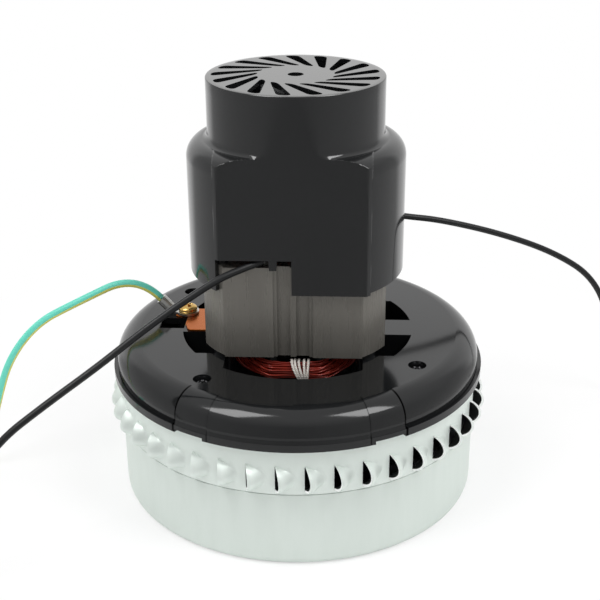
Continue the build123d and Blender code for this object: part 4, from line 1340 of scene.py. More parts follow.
    def build(self, finishes: Finishes) -> None:
        """Makes the cup.

        Args:
            finishes: The finishes.
        """
        inner, lid_edge, steps = self.spigot_radius - self.wall, self.radius - 0.3, 168
        lid = np.array([
            (self.seal_radius, self.high), (lid_edge, self.high),
            (lid_edge, self.high - self.wall), (self.seal_radius, self.high - self.wall),
        ])
        spigot = np.array([
            (self.spigot_radius, self.low + 0.4), (inner, self.low + self.wall),
            (inner, self.spigot_low), (self.spigot_radius, self.spigot_low),
        ])
        points, faces, sides = self.band()
        parts = [revolved(lid, steps), revolved(spigot, steps), (points, faces)]
        cup = mesh_object("louvred_shell_cup", *join_parts(parts))
        # The cup's outer side takes the lighter copy of the shell's steel, painted light
        finishes.dress(cup, "louvre_steel_painted_light")
        cup.data.materials.append(finishes.materials["cut_edge"])
        # The sheet's inner side takes the dark colour, painted shade inside the louvres' mouths
        cup.data.materials.append(finishes.materials["hood_inside_painted_shade"])
        looks = np.full(len(cup.data.polygons), int(SheetSide.OUTER))
        looks[-len(sides):] = sides
        cup.data.polygons.foreach_set("material_index", looks)
        tidy_mesh(cup, 42.0, weld=True)
        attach(cup, FRAME_BODY)
        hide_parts("upper_fan_shell")
        LOG.info("louvred shell built with %d louvres", self.count)


# Motor cover


@dataclass
class MotorCover:
    """The moulded cover: a skirt cut flat in front and behind, a block there, and the cap with its grille.

    Attributes:
        bottom: Height of the lower edge.
        shoulder: Height of the shoulder.
        top: Height of the grille's face.
        skirt_radius: Radius of the round skirt.
        skirt_round: Rounding of its shoulder.
        block_half_width: Half the width of the block.
        block_reach: Greatest distance of the block from the axis.
        block_round: Rounding of its shoulder.
        block_bevel: Bevel of its upright corners.
        flat_low: Distance of the flat front from the axis at the bottom.
        flat_shoulder: The same at the shoulder.
        flat_high: The same at the top.
        cap_radius: Radius of the cap.
        cap_edge: Rounding of its top edge.
        cap_rows: Highest and lowest row of the cap's plain wall.
        cap_foot: Height at which its wall ends, inside the skirt.
        foot_round: Rounding between the cap and the shoulder.
        lap: How far the cap's flat stands before the skirt's.
        wall: Thickness of the skirt.
        cap_wall: Thickness of the cap.
        edge_width: Width of the rounding of every edge.
        notch_top: Height of the two notches.
        notch_right: Where the front notch ends at the right.
        tongue_foot: The tongue's foot: left side, right side, thickness, height over the notch's top.
        tongue_head: Its upper end, in the same order.
        slots: Slots of the grille.
        phase: Direction of the first slot, in degrees.
        sweep: How far a slot's inner end is turned back, in degrees.
        slot_inner: Radius of a slot's inner end.
        slot_outer: Radius of its outer end.
        slot_wide: Its width at the outer end.
        slot_narrow: Its width at the inner end.
        slot_corner: Rounding of its corners.
        slot_end: What is left of its width at the very ends, as a share.
        hole: Radius of the hole in the middle.
    """

    bottom: float = 93.4
    shoulder: float = 145.5
    top: float = 168.6
    skirt_radius: float = 42.0
    skirt_round: float = 7.0
    block_half_width: float = 29.0
    block_reach: float = 44.8
    block_round: float = 9.4
    block_bevel: float = 1.4
    flat_low: float = 34.1
    flat_shoulder: float = 32.3
    flat_high: float = 33.75
    cap_radius: float = 33.8
    cap_edge: float = 0.5
    cap_rows: tuple[float, float] = (164.0, 149.0)
    cap_foot: float = 143.6
    foot_round: float = 2.4
    lap: float = 0.04
    wall: float = 1.6
    cap_wall: float = 1.8
    edge_width: float = 0.22
    notch_top: float = 107.0
    notch_right: float = -0.4
    tongue_foot: tuple[float, float, float, float] = (-8.7, -5.9, 1.2, -3.9)
    tongue_head: tuple[float, float, float, float] = (-8.9, -5.7, 1.4, 0.6)
    slots: int = 17
    phase: float = -94.5
    sweep: float = 26.0
    slot_inner: float = 14.6
    slot_outer: float = 31.8
    slot_wide: float = 5.6
    slot_narrow: float = 3.3
    slot_corner: float = 1.9
    slot_end: float = 0.25
    hole: float = 3.0

    def flat(self, z: np.ndarray) -> np.ndarray:
        """Distance of the flat front from the axis at each height: it leans in to the shoulder, then out."""
        heights = [self.bottom, self.shoulder, self.top]
        return np.interp(z, heights, [self.flat_low, self.flat_shoulder, self.flat_high])

    @staticmethod
    def along(distance: np.ndarray, angle: np.ndarray) -> np.ndarray:
        """Distance of a flat front from the axis in each direction: distance / |sin(angle)|."""
        return distance / np.maximum(np.abs(np.sin(angle)), TINY)

    def outline(self, angle: np.ndarray, z: np.ndarray) -> np.ndarray:
        """Distance of the skirt's face from the axis, for each direction and height.

        The skirt is a circle cut by the two flats. The block is a rectangle with bevelled corners. The
        greater of the two holds. Near the shoulder both draw in along a quarter circle.

        Args:
            angle: Directions in radians, as a column.
            z: Heights, as a row.

        Returns:
            The distances.
        """
        def drawn_in(rounding: float) -> np.ndarray:
            """How far a rounding of this size has drawn in at each height."""
            over = np.clip(z - (self.shoulder - rounding), 0.0, rounding)
            return rounding - np.sqrt(np.maximum(rounding**2 - over**2, 0.0))

        cos, sin = np.maximum(np.abs(np.cos(angle)), TINY), np.maximum(np.abs(np.sin(angle)), TINY)
        flat = self.flat(z)
        skirt = np.minimum(self.skirt_radius - drawn_in(self.skirt_round), flat / sin)
        bevel = (self.block_half_width + flat - self.block_bevel) / (cos + sin)
        block = np.minimum(np.minimum(self.block_half_width / cos, flat / sin), bevel)
        block = np.minimum(block, self.block_reach - drawn_in(self.block_round))
        return np.maximum(skirt, block)

    def skirt(self) -> Surface:
        """The skirt and shoulder as one open sheet, with the two notches left out.

        The columns stand at even angles, and at the corners' and the notches' own angles. The rows are close
        together round the shoulder.

        Returns:
            The points and the faces.
        """
        low, width, bevel = self.flat_low, self.block_half_width, self.block_bevel
        notch = math.atan2(-low, self.notch_right)
        skirt_edge = math.atan2(-math.sqrt(self.skirt_radius**2 - width**2), -width)
        marks = np.array([
            notch, math.atan2(-low, bevel - width), math.atan2(bevel - low, -width), skirt_edge,
            math.atan2(-low, width - bevel), math.atan2(bevel - low, width), -math.pi - skirt_edge,
        ])
        marks = np.concatenate([marks, marks + math.pi]) % FULL_TURN
        even = np.linspace(0.0, FULL_TURN, 540, endpoint=False)
        clearance, inside, lip_inset = 0.004, 0.003, 0.6
        far = np.min(np.abs(even[:, None] - marks[None]), axis=1) > clearance
        angle = np.sort(np.concatenate([even[far], marks]))
        rise = np.sin(np.linspace(0.0, math.pi / 2, 40))
        round_start = self.shoulder - self.block_round
        z = np.concatenate([
            [self.bottom, self.bottom + 0.4], np.linspace(96.0, self.notch_top, 5),
            np.linspace(112.0, round_start, 7), round_start + self.block_round * rise[1:],
        ])
        reach = self.outline(angle[:, None], z[None])
        lip = np.minimum(self.cap_radius, self.along(self.flat(np.array(self.shoulder)), angle)) - lip_inset
        radius = np.concatenate([reach, lip[:, None]], axis=1)
        points = polar(radius, angle[:, None], np.append(z, self.shoulder))
        rows = len(z) + 1
        faces = grid_faces(len(angle), rows, close_rows=True)
        column, row = np.divmod(faces[:, 0], rows)
        start, end = skirt_edge % FULL_TURN, notch % FULL_TURN
        middle = angle[column] + inside
        front = (middle > start) & (middle < end)
        rear = (middle > start - math.pi) & (middle < end - math.pi)
        kept = ~((front | rear) & (z[row] < self.notch_top - 0.01))
        return points.reshape(-1, 3), faces[kept]

    def slot_edges(self, radii: np.ndarray) -> tuple[np.ndarray, np.ndarray]:
        """Both edges of the slot at angle 0, as x + iy.

        Each edge is a straight line from its inner corner, turned back by the sweep, to its outer corner, and
        both edges draw in at the two ends along a quarter circle.

        Args:
            radii: The face's rings.

        Returns:
            The edge at the lower angle and the one at the higher angle.
        """
        inwards, outwards = radii - self.slot_inner, self.slot_outer - radii
        share = np.clip(inwards / (self.slot_outer - self.slot_inner), 0.0, 1.0)
        near_end = np.clip(np.minimum(inwards, outwards) / self.slot_corner, 0.0, 1.0)
        opening = self.slot_end + (1.0 - self.slot_end) * np.sqrt(1.0 - (1.0 - near_end) ** 2)
        edges = []
        for sign in (-1.0, 1.0):
            turn = sign * self.slot_narrow / 2 / self.slot_inner - math.radians(self.sweep)
            inner = self.slot_inner * np.exp(1j * turn)
            outer = self.slot_outer * np.exp(1j * sign * self.slot_wide / 2 / self.slot_outer)
            edges.append(inner + (outer - inner) * share)
        middle, half = (edges[0] + edges[1]) / 2, (edges[1] - edges[0]) / 2
        return middle - half * opening, middle + half * opening

    def cap_wall_rows(self) -> tuple[np.ndarray, np.ndarray, np.ndarray]:
        """Rows of the cap's wall from its top edge, a quarter circle, down to its foot, another one.

        Returns:
            Their heights, their distances from the axis, and how far the top edge draws them in.
        """
        plain = np.linspace(*self.cap_rows, 4)
        edge = np.linspace(0.0, math.pi / 2, 4)
        foot = self.foot_round * (1.0 - np.sin(np.linspace(0.0, math.pi / 2, 8)))
        flare = self.foot_round - np.sqrt(self.foot_round**2 - (self.foot_round - foot) ** 2)
        z = np.concatenate([
            self.top - self.cap_edge * (1 - np.cos(edge)), plain, self.shoulder - 0.1 + foot, [self.cap_foot],
        ])
        reach = self.cap_radius + np.concatenate([np.zeros(len(edge) + len(plain)), flare, flare[-1:]])
        drawn_in = np.concatenate([self.cap_edge * (1 - np.sin(edge)), np.zeros(len(z) - len(edge))])
        return z, reach, drawn_in

    def cap(self) -> Surface:
        """The cap's wall and its grille as one open sheet.

        A slot's cell has columns across the slot, left out between its ends, and columns across the web
        beside it. The rings are close together at the slots' ends.

        Returns:
            The points and the faces.
        """
        slot_columns, web_columns, hub_rings = 4, 8, 5
        bend = np.linspace(0, math.pi / 2, 5)
        corner_end, corner_start = self.slot_inner + self.slot_corner, self.slot_outer - self.slot_corner
        radii = np.concatenate([
            np.linspace(self.hole, self.slot_inner, hub_rings + 1)[:-1],
            self.slot_inner + self.slot_corner * (1 - np.cos(bend)),
            np.linspace(corner_end, corner_start, 12)[1:-1],
            self.slot_outer - self.slot_corner * (1 - np.sin(bend)),
        ])
        plain = (radii < self.slot_inner) | (radii > self.slot_outer)
        edges = self.slot_edges(radii)
        low_radius, high_radius = (np.where(plain, radii, np.abs(edge)) for edge in edges)
        low_angle, high_angle = (np.angle(edge) for edge in edges)
        across = np.concatenate([
            np.linspace(-1.0, 1.0, slot_columns + 1)[:-1], np.linspace(1.0, 3.0, web_columns + 1)[:-1],
        ])[:, None]
        slot_share, web_share = (across + 1.0) / 2.0, (across - 1.0) / 2.0
        cell = FULL_TURN / self.slots
        offset = np.where(across <= 1.0, low_angle + slot_share * (high_angle - low_angle),
                          high_angle + web_share * (low_angle + cell - high_angle))
        face_radius = np.where(across <= 1.0, low_radius + slot_share * (high_radius - low_radius),
                               high_radius + web_share * (low_radius - high_radius))
        start = math.radians(self.phase) + cell * np.arange(self.slots)
        angle = (start[:, None, None] + offset[None]).reshape(-1, len(radii))
        face_radius = np.minimum(np.tile(face_radius, (self.slots, 1)),
                                 self.along(self.flat_high - self.cap_edge, angle))
        wall_z, reach, drawn_in = self.cap_wall_rows()
        rim_angle = angle[:, -1:]
        rim = np.minimum(reach, self.along(self.flat(wall_z) + self.lap, rim_angle))
        radius = np.concatenate([face_radius, rim - drawn_in], axis=1)
        z = np.concatenate([np.full(len(radii), self.top), wall_z])
        angle = np.concatenate([angle, np.repeat(rim_angle, len(wall_z), axis=1)], axis=1)
        faces = grid_faces(len(angle), len(z), close_rows=True)
        column, row = np.divmod(faces[:, 0], len(z))
        in_slot = column % (slot_columns + web_columns) < slot_columns
        kept = ~(in_slot & (row >= hub_rings) & (row < len(radii) - 1))
        return polar(radius, angle, z).reshape(-1, 3), faces[kept]

    def tongues(self) -> Surface:
        """The small tongue at the top of each notch, as a box with its lower edge drawn in.

        Returns:
            The points and the faces.
        """
        inset = 0.6
        front = inset - self.flat_low
        corners = np.array([
            (x, y, self.notch_top + rise)
            for left, right, thickness, rise in (self.tongue_foot, self.tongue_head)
            for x, y in ((left, front), (right, front), (right, front + thickness), (left, front + thickness))
        ])
        return join_parts([(corners, BOX_FACES), (corners * HALF_TURN, BOX_FACES)])

    def build(self, finishes: Finishes) -> None:
        """Makes the cover.

        Args:
            finishes: The finishes.
        """
        sheets = (("cover_skirt", self.skirt(), self.wall), ("cover_cap", self.cap(), self.cap_wall))
        for name, sheet, wall in sheets:
            piece = mesh_object(name, *sheet)
            tidy_mesh(piece, 30.0)
            highest = max(piece.data.polygons, key=lambda face: face.center.z)
            if highest.normal.z < 0.0:
                piece.data.flip_normals()
            thick = piece.modifiers.new("wall", "SOLIDIFY")
            thick.thickness = wall * MM
            thick.offset = -1.0
            thick.use_even_offset = True
            round_edges(piece, self.edge_width, 2, 50.0)
            self.finish(piece, finishes)
        self.finish(mesh_object("cover_tongues", *self.tongues(), smooth=False), finishes)
        LOG.info("cover built with %d slots", self.slots)

    @staticmethod
    def finish(piece: bpy.types.Object, finishes: Finishes) -> None:
        """Dresses one piece of the cover, ties it to the frame and hides the CAD cover that it stands for.

        Args:
            piece: The piece.
            finishes: The finishes.
        """
        finishes.dress(piece, "cover_plastic")
        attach(piece, FRAME_BODY)
        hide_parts("motor_cover")


# Screws and the flange's bead


@dataclass
class Screw:
    """One round-headed screw with a cross recess.

    Attributes:
        place: Its axis in the XY plane.
        seat: Height of the head's underside.
        head_radius: Radius of the head.
        head_height: Height of the head.
        shank_radius: Radius of the shank.
        tip: Height of the tip.
        turn: Direction of the cross, in degrees.
    """

    place: tuple[float, float]
    seat: float
    head_radius: float
    head_height: float
    shank_radius: float
    tip: float
    turn: float = 20.0

    def surface(self) -> Surface:
        """The screw as rings from its tip up over the head to the middle of its recess.

        The head rises as sqrt(1 - 0.96 s^2), where s is the share of its radius. The recess is as deep as a
        cross, |cos(2 (angle - turn))|, whose arms thin out towards their ends and fill its middle.

        Returns:
            The points and the faces.
        """
        sides, thin = 64, 0.02
        # The rim's height, the cross's length and its depth, as shares of the head's sizes
        rim, cross_reach, cross_depth = 0.32, 0.58, 0.5
        dome = np.linspace(1.0, thin, 16)
        # Radius and height of the rings up to the head's rim
        shank = np.array([
            (thin, self.tip), (self.shank_radius * 0.4, self.tip + 0.3),
            (self.shank_radius, self.tip + self.shank_radius), (self.shank_radius, self.seat),
            (self.head_radius - 0.2, self.seat), (self.head_radius, self.seat + 0.2),
        ])
        rise = rim + (1.0 - rim) * np.sqrt(1.0 - 0.96 * dome**2)
        radius = np.concatenate([shank[:, 0], self.head_radius * dome])
        height = np.concatenate([shank[:, 1], self.seat + self.head_height * rise])
        angle = np.linspace(0.0, FULL_TURN, sides, endpoint=False)
        share = radius[:, None] / self.head_radius
        spoke = np.abs(np.cos(2.0 * (angle[None] - math.radians(self.turn))))
        reach = np.clip((cross_reach - share) / 0.16, 0.0, 1.0)
        arm = np.clip((spoke - 0.62) / 0.3 + np.clip(0.3 - share, 0.0, 1.0) * 4.0, 0.0, 1.0)
        on_head = (np.arange(len(radius)) >= len(shank))[:, None]
        z = height[:, None] - cross_depth * self.head_height * reach * arm * on_head
        points = polar(radius[:, None], angle[None], z) + np.array([*self.place, 0.0])
        return points.reshape(-1, 3), capped_faces(len(radius), sides)


@dataclass
class Screws:
    """The screws that show: four in the flange and the brass one at the ground strap.

    Attributes:
        circle: Distance of the flange's screws from the axis.
        phase: Direction of the first one, in degrees.
        seat: Height of their heads' undersides.
        ground: The brass screw's axis in the XY plane.
    """

    circle: float = 57.8
    phase: float = 54.8
    seat: float = 61.3
    ground: tuple[float, float] = (-46.1, 9.8)

    def build(self, finishes: Finishes, box: tuple) -> None:
        """Makes the screws.

        Args:
            finishes: The finishes.
            box: The brass screw's lowest and highest corners, in metres.
        """
        parts = []
        for index in range(4):
            angle = math.radians(self.phase + 90.0 * index)
            place = (self.circle * math.cos(angle), self.circle * math.sin(angle))
            parts.append(Screw(place, self.seat, 3.2, 2.5, 1.9, tip=46.4, turn=20.0 + 37.0 * index).surface())
        self.finish(finishes, "flange_screws", parts, "bracket_screws", "dark_screw_steel")
        low, high = (corner[2] / MM for corner in box)
        head_height = 2.6
        brass = Screw(self.ground, high - head_height, 3.9, head_height, 2.0, tip=low, turn=35.0).surface()
        self.finish(finishes, "brass_ground_screw", [brass], "ground_screw", "brass")
        LOG.info("screws built")

    @staticmethod
    def finish(finishes: Finishes, name: str, parts: list, node: str, look: str) -> None:
        """Joins one kind of screw and dresses it.

        Args:
            finishes: The finishes.
            name: The piece's name.
            parts: The screws' points and faces.
            node: The CAD node that they replace.
            look: The finish and material slot.
        """
        piece = mesh_object(name, *join_parts(parts))
        tidy_mesh(piece, 45.0)
        finishes.dress(piece, look)
        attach(piece, FRAME_BODY)
        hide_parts(node)


@dataclass
class FlangeBead:
    """The bead that fills most of the groove above the flange's lip, and stands out with the raised pads.

    Attributes:
        inner: Inner radius.
        low: Height of the lower face between the pads.
        high: Height of the upper face there.
        plain_radius: Outer radius there.
        pads: Half angle from the front, in degrees, and outer radius at each pad.
        pad_low: Height of the lower face at the pads.
        pad_high: Height of the upper face there.
        lip_radius: Outer radius of the lower face there.
    """

    inner: float = 72.2
    low: float = 53.3
    high: float = 54.3
    plain_radius: float = 72.95
    pads: tuple[tuple[float, float], ...] = ((34.6, 73.75), (23.3, 74.35))
    pad_low: float = 53.0
    pad_high: float = 55.2
    lip_radius: float = 74.76

    def build(self, finishes: Finishes) -> None:
        """Makes the bead as a box section carried round the flange.

        Args:
            finishes: The finishes.
        """
        turn = np.linspace(0.0, FULL_TURN, 720, endpoint=False)
        from_front = np.degrees(np.arccos(np.abs(np.sin(turn))))
        radius = np.full(len(turn), self.plain_radius)
        for half_angle, reach in self.pads:
            radius = np.where(from_front < half_angle, reach, radius)
        on_pad = from_front < self.pads[0][0]
        low_radius = np.where(on_pad, self.lip_radius, radius)
        inner = np.full_like(radius, self.inner)
        section = np.stack([low_radius, radius, inner, inner], axis=1)
        low, high = np.where(on_pad, self.pad_low, self.low), np.where(on_pad, self.pad_high, self.high)
        height = np.stack([low, high, high, low], axis=1)
        points = polar(section, turn[:, None], height).reshape(-1, 3)
        faces = grid_faces(len(turn), 4, close_rows=True, close_columns=True)
        bead = mesh_object("flange_bead", points, faces)
        tidy_mesh(bead, 40.0)
        finishes.dress(bead, "black_plastic")
        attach(bead, FRAME_BODY)
        LOG.info("bead built")


@dataclass
class GrooveRibs:
    """The inner ribs of the sheets, which leave the stator's two front and two rear grooves shallow.

    Attributes:
        offset: Distance of a rib's middle from the plane x = 0.
        half_width: Half its width.
        face: Distance of its outer face from the plane y = 0.
        back: Distance of its inner face.
        low: Height of its foot.
        high: Height of its top.
    """

    offset: float = 3.6
    half_width: float = 2.5
    face: float = 29.6
    back: float = 27.2
    low: float = 66.41
    high: float = 103.39

    def build(self, finishes: Finishes) -> None:
        """Makes the ribs as upright bars.

        Args:
            finishes: The finishes.
        """
        parts = []
        for middle in (-self.offset, self.offset):
            sides = (middle - self.half_width, middle + self.half_width)
            for depth in ((-self.face, -self.back), (self.back, self.face)):
                parts.append((box_corners(sides, depth, (self.low, self.high)), BOX_FACES))
        ribs = mesh_object("stator_groove_ribs", *join_parts(parts), smooth=False)
        finishes.dress(ribs, "lamination_steel")
        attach(ribs, FRAME_BODY)
        LOG.info("groove ribs built")


# Brush springs


@dataclass
class BrushSpring:
    """The coil spring between a brush and the closed end of its holder.

    Its inner end sits at the brush and its outer end at the holder; the coil is built once and does not shorten
    as the brush slides out.

    Attributes:
        side: The brush's side, as its node and joint say it.
        way: 1 where the spring points along X, -1 where it points the other way.
        travel: How far the brush slides, in millimetres. Not used.
        turns: Turns of wire.
        wire: Radius of the wire in millimetres.
        clearance: Distance of the coil's ends from the brush and the holder.
    """

    side: str
    way: float
    travel: float = 6.0
    turns: float = 6.0
    wire: float = 0.2
    clearance: float = 0.03

    def build(self, finishes: Finishes) -> None:
        """Makes the coil from the box of its node.

        Args:
            finishes: The finishes.
        """
        node = f"{self.side}_brush_spring"
        low, high = (np.array(corner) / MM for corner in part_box(node))
        middle = (low + high) / 2.0
        reach = (high[2] - low[2]) / 2.0 - self.wire
        inner, outer = (low[0], high[0]) if self.way > 0.0 else (high[0], low[0])
        share = np.linspace(0.0, 1.0, 160)
        turn = FULL_TURN * self.turns * share
        end_room = self.way * (self.wire + self.clearance)
        path = np.stack([
            inner + end_room + (outer - inner - 2.0 * end_room) * share,
            middle[1] + reach * np.cos(turn),
            middle[2] + reach * np.sin(turn),
        ], axis=1)
        coil = mesh_object(f"{node}_coil", *open_tube(path, self.wire, 8, (1.0, 0.0, 0.0)))
        tidy_mesh(coil, 50.0)
        finishes.dress(coil, "spring_steel")
        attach(coil, FRAME_BODY)
        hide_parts(node)
        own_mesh(coil)
        LOG.info("%s built", node)


# Ground strap


@dataclass
class GroundStrap:
    """The copper strap: a plate on the left arm, under the brass screw, and its leg up the stator's side.

    Attributes:
        low: Height of the plate's underside.
        wall: Thickness of the strap.
        edge_x: Place of the leg's face on the stator.
        outline: The plate's corners in the XY plane.
        leg: Front, back and top of the leg.
    """

    low: float = 65.02
    wall: float = 0.8
    edge_x: float = -35.15
    outline: tuple[tuple[float, float], ...] = (
        (-35.15, -6.7), (-35.15, 13.8), (-49.8, 13.8), (-50.9, 12.4), (-50.9, 7.4), (-49.8, 6.3),
        (-45.7, 6.3), (-45.7, -1.0), (-44.4, -5.4), (-43.2, -6.7),
    )
    leg: tuple[float, float, float] = (-4.0, 4.5, 74.0)

    def build(self, finishes: Finishes) -> None:
        """Makes the strap from its outline, with soft edges.

        Args:
            finishes: The finishes.
        """
        flat, count = np.array(self.outline), len(self.outline)
        levels = (self.low, self.low + self.wall)
        plate = np.concatenate([np.column_stack([flat, np.full(count, z)]) for z in levels])
        faces: list = [list(range(count))[::-1], list(range(count, 2 * count))]
        faces += [[i, (i + 1) % count, (i + 1) % count + count, i + count] for i in range(count)]
        front, back, high = self.leg
        foot = self.low + self.wall / 2
        leg = box_corners((self.edge_x - self.wall, self.edge_x), (front, back), (foot, high))
        both = join_parts([(plate, faces), (leg, BOX_FACES)])
        strap = mesh_object("copper_ground_strap", *both, smooth=False)
        round_edges(strap, 0.2, 2, harden=False)
        finishes.dress(strap, "copper")
        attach(strap, FRAME_BODY)
        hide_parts("ground_strap")
        LOG.info("strap built")


# CAD nodes


# Width in millimetres and steps of the rounding along the edges of a carried node
EDGE_ROUNDINGS = {
    "fan_end_bracket": (0.45, 3),
    "stator_laminations": (0.3, 2),
    "ground_terminal": (0.15, 2),
    "commutator_bracket": (0.4, 2),
}


class Carried:
    """The CAD nodes whose own shape shows."""

    def __init__(self, frame: dict) -> None:
        """Keeps the nodes and their material slots.
        """
        self.nodes = frame["nodes"]
        self.slots = {row["node"]: row["material_slot"] for row in frame["record"]["subparts"]}

    def dress(self, finishes: Finishes) -> None:
        """Gives each shown node the finish of its slot.

        Args:
            finishes: The finishes.
        """
        for name, node in self.nodes.items():
            finishes.dress(node, self.slots[name])
        finishes.dress(self.nodes["cooling_fan"], "fan_plastic")
        for name, (width, steps) in EDGE_ROUNDINGS.items():
            round_edges(self.nodes[name], width, steps, 38.0)
        LOG.info("%d CAD nodes dressed", len(self.nodes))


# Studio


@dataclass(frozen=True)
class Softbox:
    """One soft rectangular lamp.

    Attributes:
        name: The lamp's name.
        place: Its place in millimetres.
        target: The point that it faces, in millimetres.
        size: Its width and height in metres.
        power: Its power in watts.
        mirrored: Whether glossy surfaces show it.
    """

    name: str
    place: Color
    target: Color
    size: tuple[float, float]
    power: float
    mirrored: bool = True

    def build(self) -> None:
        """Makes the lamp and turns it to its target."""
        data = bpy.data.lights.new(self.name, "AREA")
        data.shape = "RECTANGLE"
        data.size, data.size_y = self.size
        data.energy = self.power
        lamp = bpy.data.objects.new(self.name, data)
        bpy.context.scene.collection.objects.link(lamp)
        lamp.visible_glossy = self.mirrored
        place = Vector(self.place)
        turn = (Vector(self.target) - place).normalized().to_track_quat("-Z", "Y")
        lamp.matrix_world = Matrix.Translation(place * MM) @ turn.to_matrix().to_4x4()


SOFTBOXES = [
    Softbox("left_softbox", (-420.0, -330.0, 900.0), (0.0, 0.0, 60.0), (0.35, 0.5), 3.6),
    Softbox("right_softbox", (520.0, -330.0, 900.0), (0.0, 0.0, 60.0), (0.35, 0.5), 3.6),
    Softbox("left_side_softbox", (-1050.0, 420.0, 420.0), (0.0, 0.0, 120.0), (0.6, 0.7), 4.4, False),
    Softbox("right_side_softbox", (1050.0, 420.0, 420.0), (0.0, 0.0, 120.0), (0.6, 0.7), 4.4, False),
]


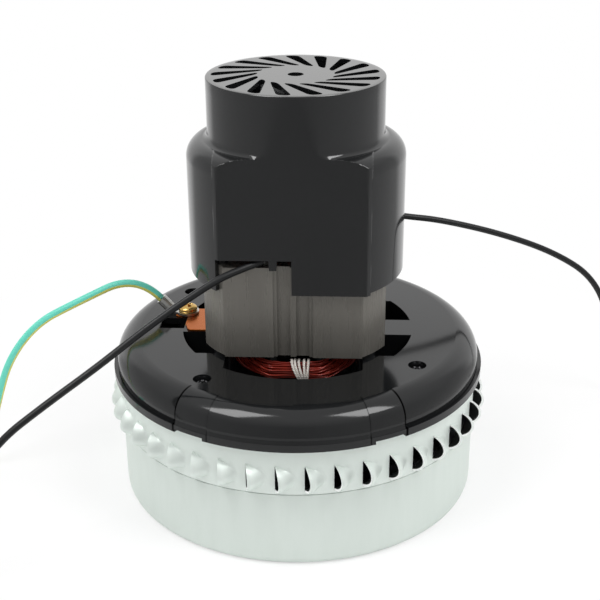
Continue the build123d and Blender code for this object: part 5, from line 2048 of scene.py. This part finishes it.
@dataclass
class Studio:
    """The pale floor, the soft lamps and the camera at the photograph's place.

    Attributes:
        eye: The camera's place in millimetres.
        forward: The camera's direction.
        roll: The camera's roll in degrees.
        lens: The lens in millimetres.
        sensor: The sensor's width in millimetres.
        floor_gray: The floor's colour.
        contact: Where the floor starts to turn white and where it is white, in metres from the axis.
        contact_white: How white it is at the start.
        mirror: Where the floor starts to be left out of reflections and where it is, in metres from the axis.
        backdrop: Sine of the direction where the white backdrop starts to be reflected and where it is.
        dim_front: Brightness of the room that is reflected from the front.
        dim_side: How much brighter it is at the sides.
        ceiling: Sine of the height where the reflected ceiling starts and where it is full.
        ceiling_white: Its brightness.
        sky: Strength of the sky's light.
    """

    eye: Color = (22.3, -433.4, 270.8)
    forward: Color = (-0.0446, 0.9116, -0.4086)
    roll: float = -0.36
    lens: float = 70.6
    sensor: float = 36.0
    floor_gray: Color = (0.9, 0.9, 0.9)
    contact: tuple[float, float] = (0.06, 0.24)
    contact_white: float = 0.55
    mirror: tuple[float, float] = (0.1, 0.2)
    backdrop: tuple[float, float] = (0.56, 0.7)
    dim_front: float = 0.34
    dim_side: float = 0.24
    ceiling: tuple[float, float] = (0.35, 0.8)
    ceiling_white: float = 0.8
    sky: float = 0.55

    def camera(self) -> None:
        """Places the camera."""
        data = bpy.data.cameras.new("photo_camera")
        data.sensor_width = self.sensor
        data.lens = self.lens
        data.clip_start = 0.01
        data.clip_end = 50.0
        camera = bpy.data.objects.new("photo_camera", data)
        bpy.context.scene.collection.objects.link(camera)
        forward = Vector(self.forward).normalized()
        right = forward.cross(Vector((0.0, 0.0, 1.0))).normalized()
        up = right.cross(forward)
        turn = Matrix.Rotation(math.radians(-self.roll), 3, forward)
        right, up = turn @ right, turn @ up
        axes = Matrix((right, up, -forward)).transposed().to_4x4()
        camera.matrix_world = Matrix.Translation(Vector(self.eye) * MM) @ axes
        bpy.context.scene.camera = camera

    def floor(self) -> None:
        """Makes the pale floor, a disc that reaches past the view."""
        radius, height, sides, white = 4000.0, -0.02, 96, (1.0, 1.0, 1.0)
        rim = polar(radius, np.linspace(0.0, FULL_TURN, sides, endpoint=False), height)
        floor = mesh_object("studio_floor", rim, [list(range(sides))], smooth=False)
        material = bpy.data.materials.new("studio_floor")
        material.use_nodes = True
        material.node_tree.nodes.clear()
        nodes = Nodes(material.node_tree)
        place = nodes.add("TexCoord").outputs["Object"]
        distance = nodes.length(place)
        path = nodes.add("LightPath")
        shade = nodes.add("BsdfDiffuse", {"Color": self.floor_gray})
        glow = nodes.add("Emission", {"Color": white, "Strength": 1.0})
        seen = nodes.math("MULTIPLY", path.outputs["Is Camera Ray"],
                          nodes.ramp(distance, *self.contact, self.contact_white, 1.0))
        room = nodes.add("Emission", {"Color": white, "Strength": self.surroundings(nodes, place)})
        mirrored = nodes.math("MULTIPLY", path.outputs["Is Glossy Ray"], nodes.ramp(distance, *self.mirror))
        surface = nodes.blend(mirrored, nodes.blend(seen, shade, glow), room)
        nodes.add("OutputMaterial", {"Surface": surface.outputs[0]})
        floor.data.materials.append(material)

    def surroundings(self, nodes: Nodes, way: Socket) -> Socket:
        """How bright the studio is in each level direction: a white backdrop behind, a dim room elsewhere.

        Args:
            nodes: The node writer.
            way: The direction, or a place on the floor.

        Returns:
            The strength, where 1 is white.
        """
        level = nodes.vector("NORMALIZE", nodes.vector("MULTIPLY", way, (1.0, 1.0, 0.0)))
        parts = nodes.add("SeparateXYZ", {0: level})
        sideways = nodes.math("ABSOLUTE", parts.outputs[0])
        dim = nodes.math("MULTIPLY_ADD", sideways, self.dim_side, self.dim_front)
        return nodes.ramp(nodes.ramp(parts.outputs[1], *self.backdrop), 0.0, 1.0, dim, 1.0)

    def world(self) -> None:
        """Sets a soft even sky. The camera sees it white, and the glossy surfaces see the studio round it."""
        world = bpy.data.worlds.new("studio_light")
        world.use_nodes = True
        world.node_tree.nodes.clear()
        nodes = Nodes(world.node_tree)
        path = nodes.add("LightPath")
        seen = nodes.math("MAXIMUM", path.outputs["Is Camera Ray"], path.outputs["Is Transmission Ray"])
        way = nodes.add("TexCoord").outputs["Generated"]
        height = nodes.ramp(nodes.add("SeparateXYZ", {0: way}).outputs[2], *self.ceiling)
        studio = nodes.ramp(height, 0.0, 1.0, self.surroundings(nodes, way), self.ceiling_white)
        direct = nodes.ramp(seen, 0.0, 1.0, self.sky, 1.0)
        strength = nodes.ramp(path.outputs["Is Glossy Ray"], 0.0, 1.0, direct, studio)
        background = nodes.add("Background", {"Color": (1.0, 1.0, 1.0), "Strength": strength})
        nodes.add("OutputWorld", {"Surface": background.outputs[0]})
        bpy.context.scene.world = world

    def build(self) -> None:
        """Makes the floor, the light and the camera."""
        self.camera()
        self.floor()
        self.world()
        for softbox in SOFTBOXES:
            softbox.build()
        bpy.context.scene.view_settings.view_transform = "Standard"
        LOG.info("studio built")


def main() -> None:
    """Builds the sub-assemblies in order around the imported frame."""
    logging.basicConfig(level=logging.INFO, format="%(name)s: %(message)s")
    for extra in list(bpy.data.objects):
        bpy.data.objects.remove(extra)
    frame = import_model()
    finishes = Finishes()
    Carried(frame).dress(finishes)
    for lead in LEADS:
        lead.build(finishes)
    FieldCoils().build(finishes)
    LowerShell().build(finishes)
    LouvredShell().build(finishes)
    MotorCover().build(finishes)
    Screws().build(finishes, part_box("ground_screw"))
    FlangeBead().build(finishes)
    GrooveRibs().build(finishes)
    GroundStrap().build(finishes)
    BrushSpring("right", 1.0).build(finishes)
    BrushSpring("left", -1.0).build(finishes)
    Studio().build()


if __name__ == "__main__":
    main()
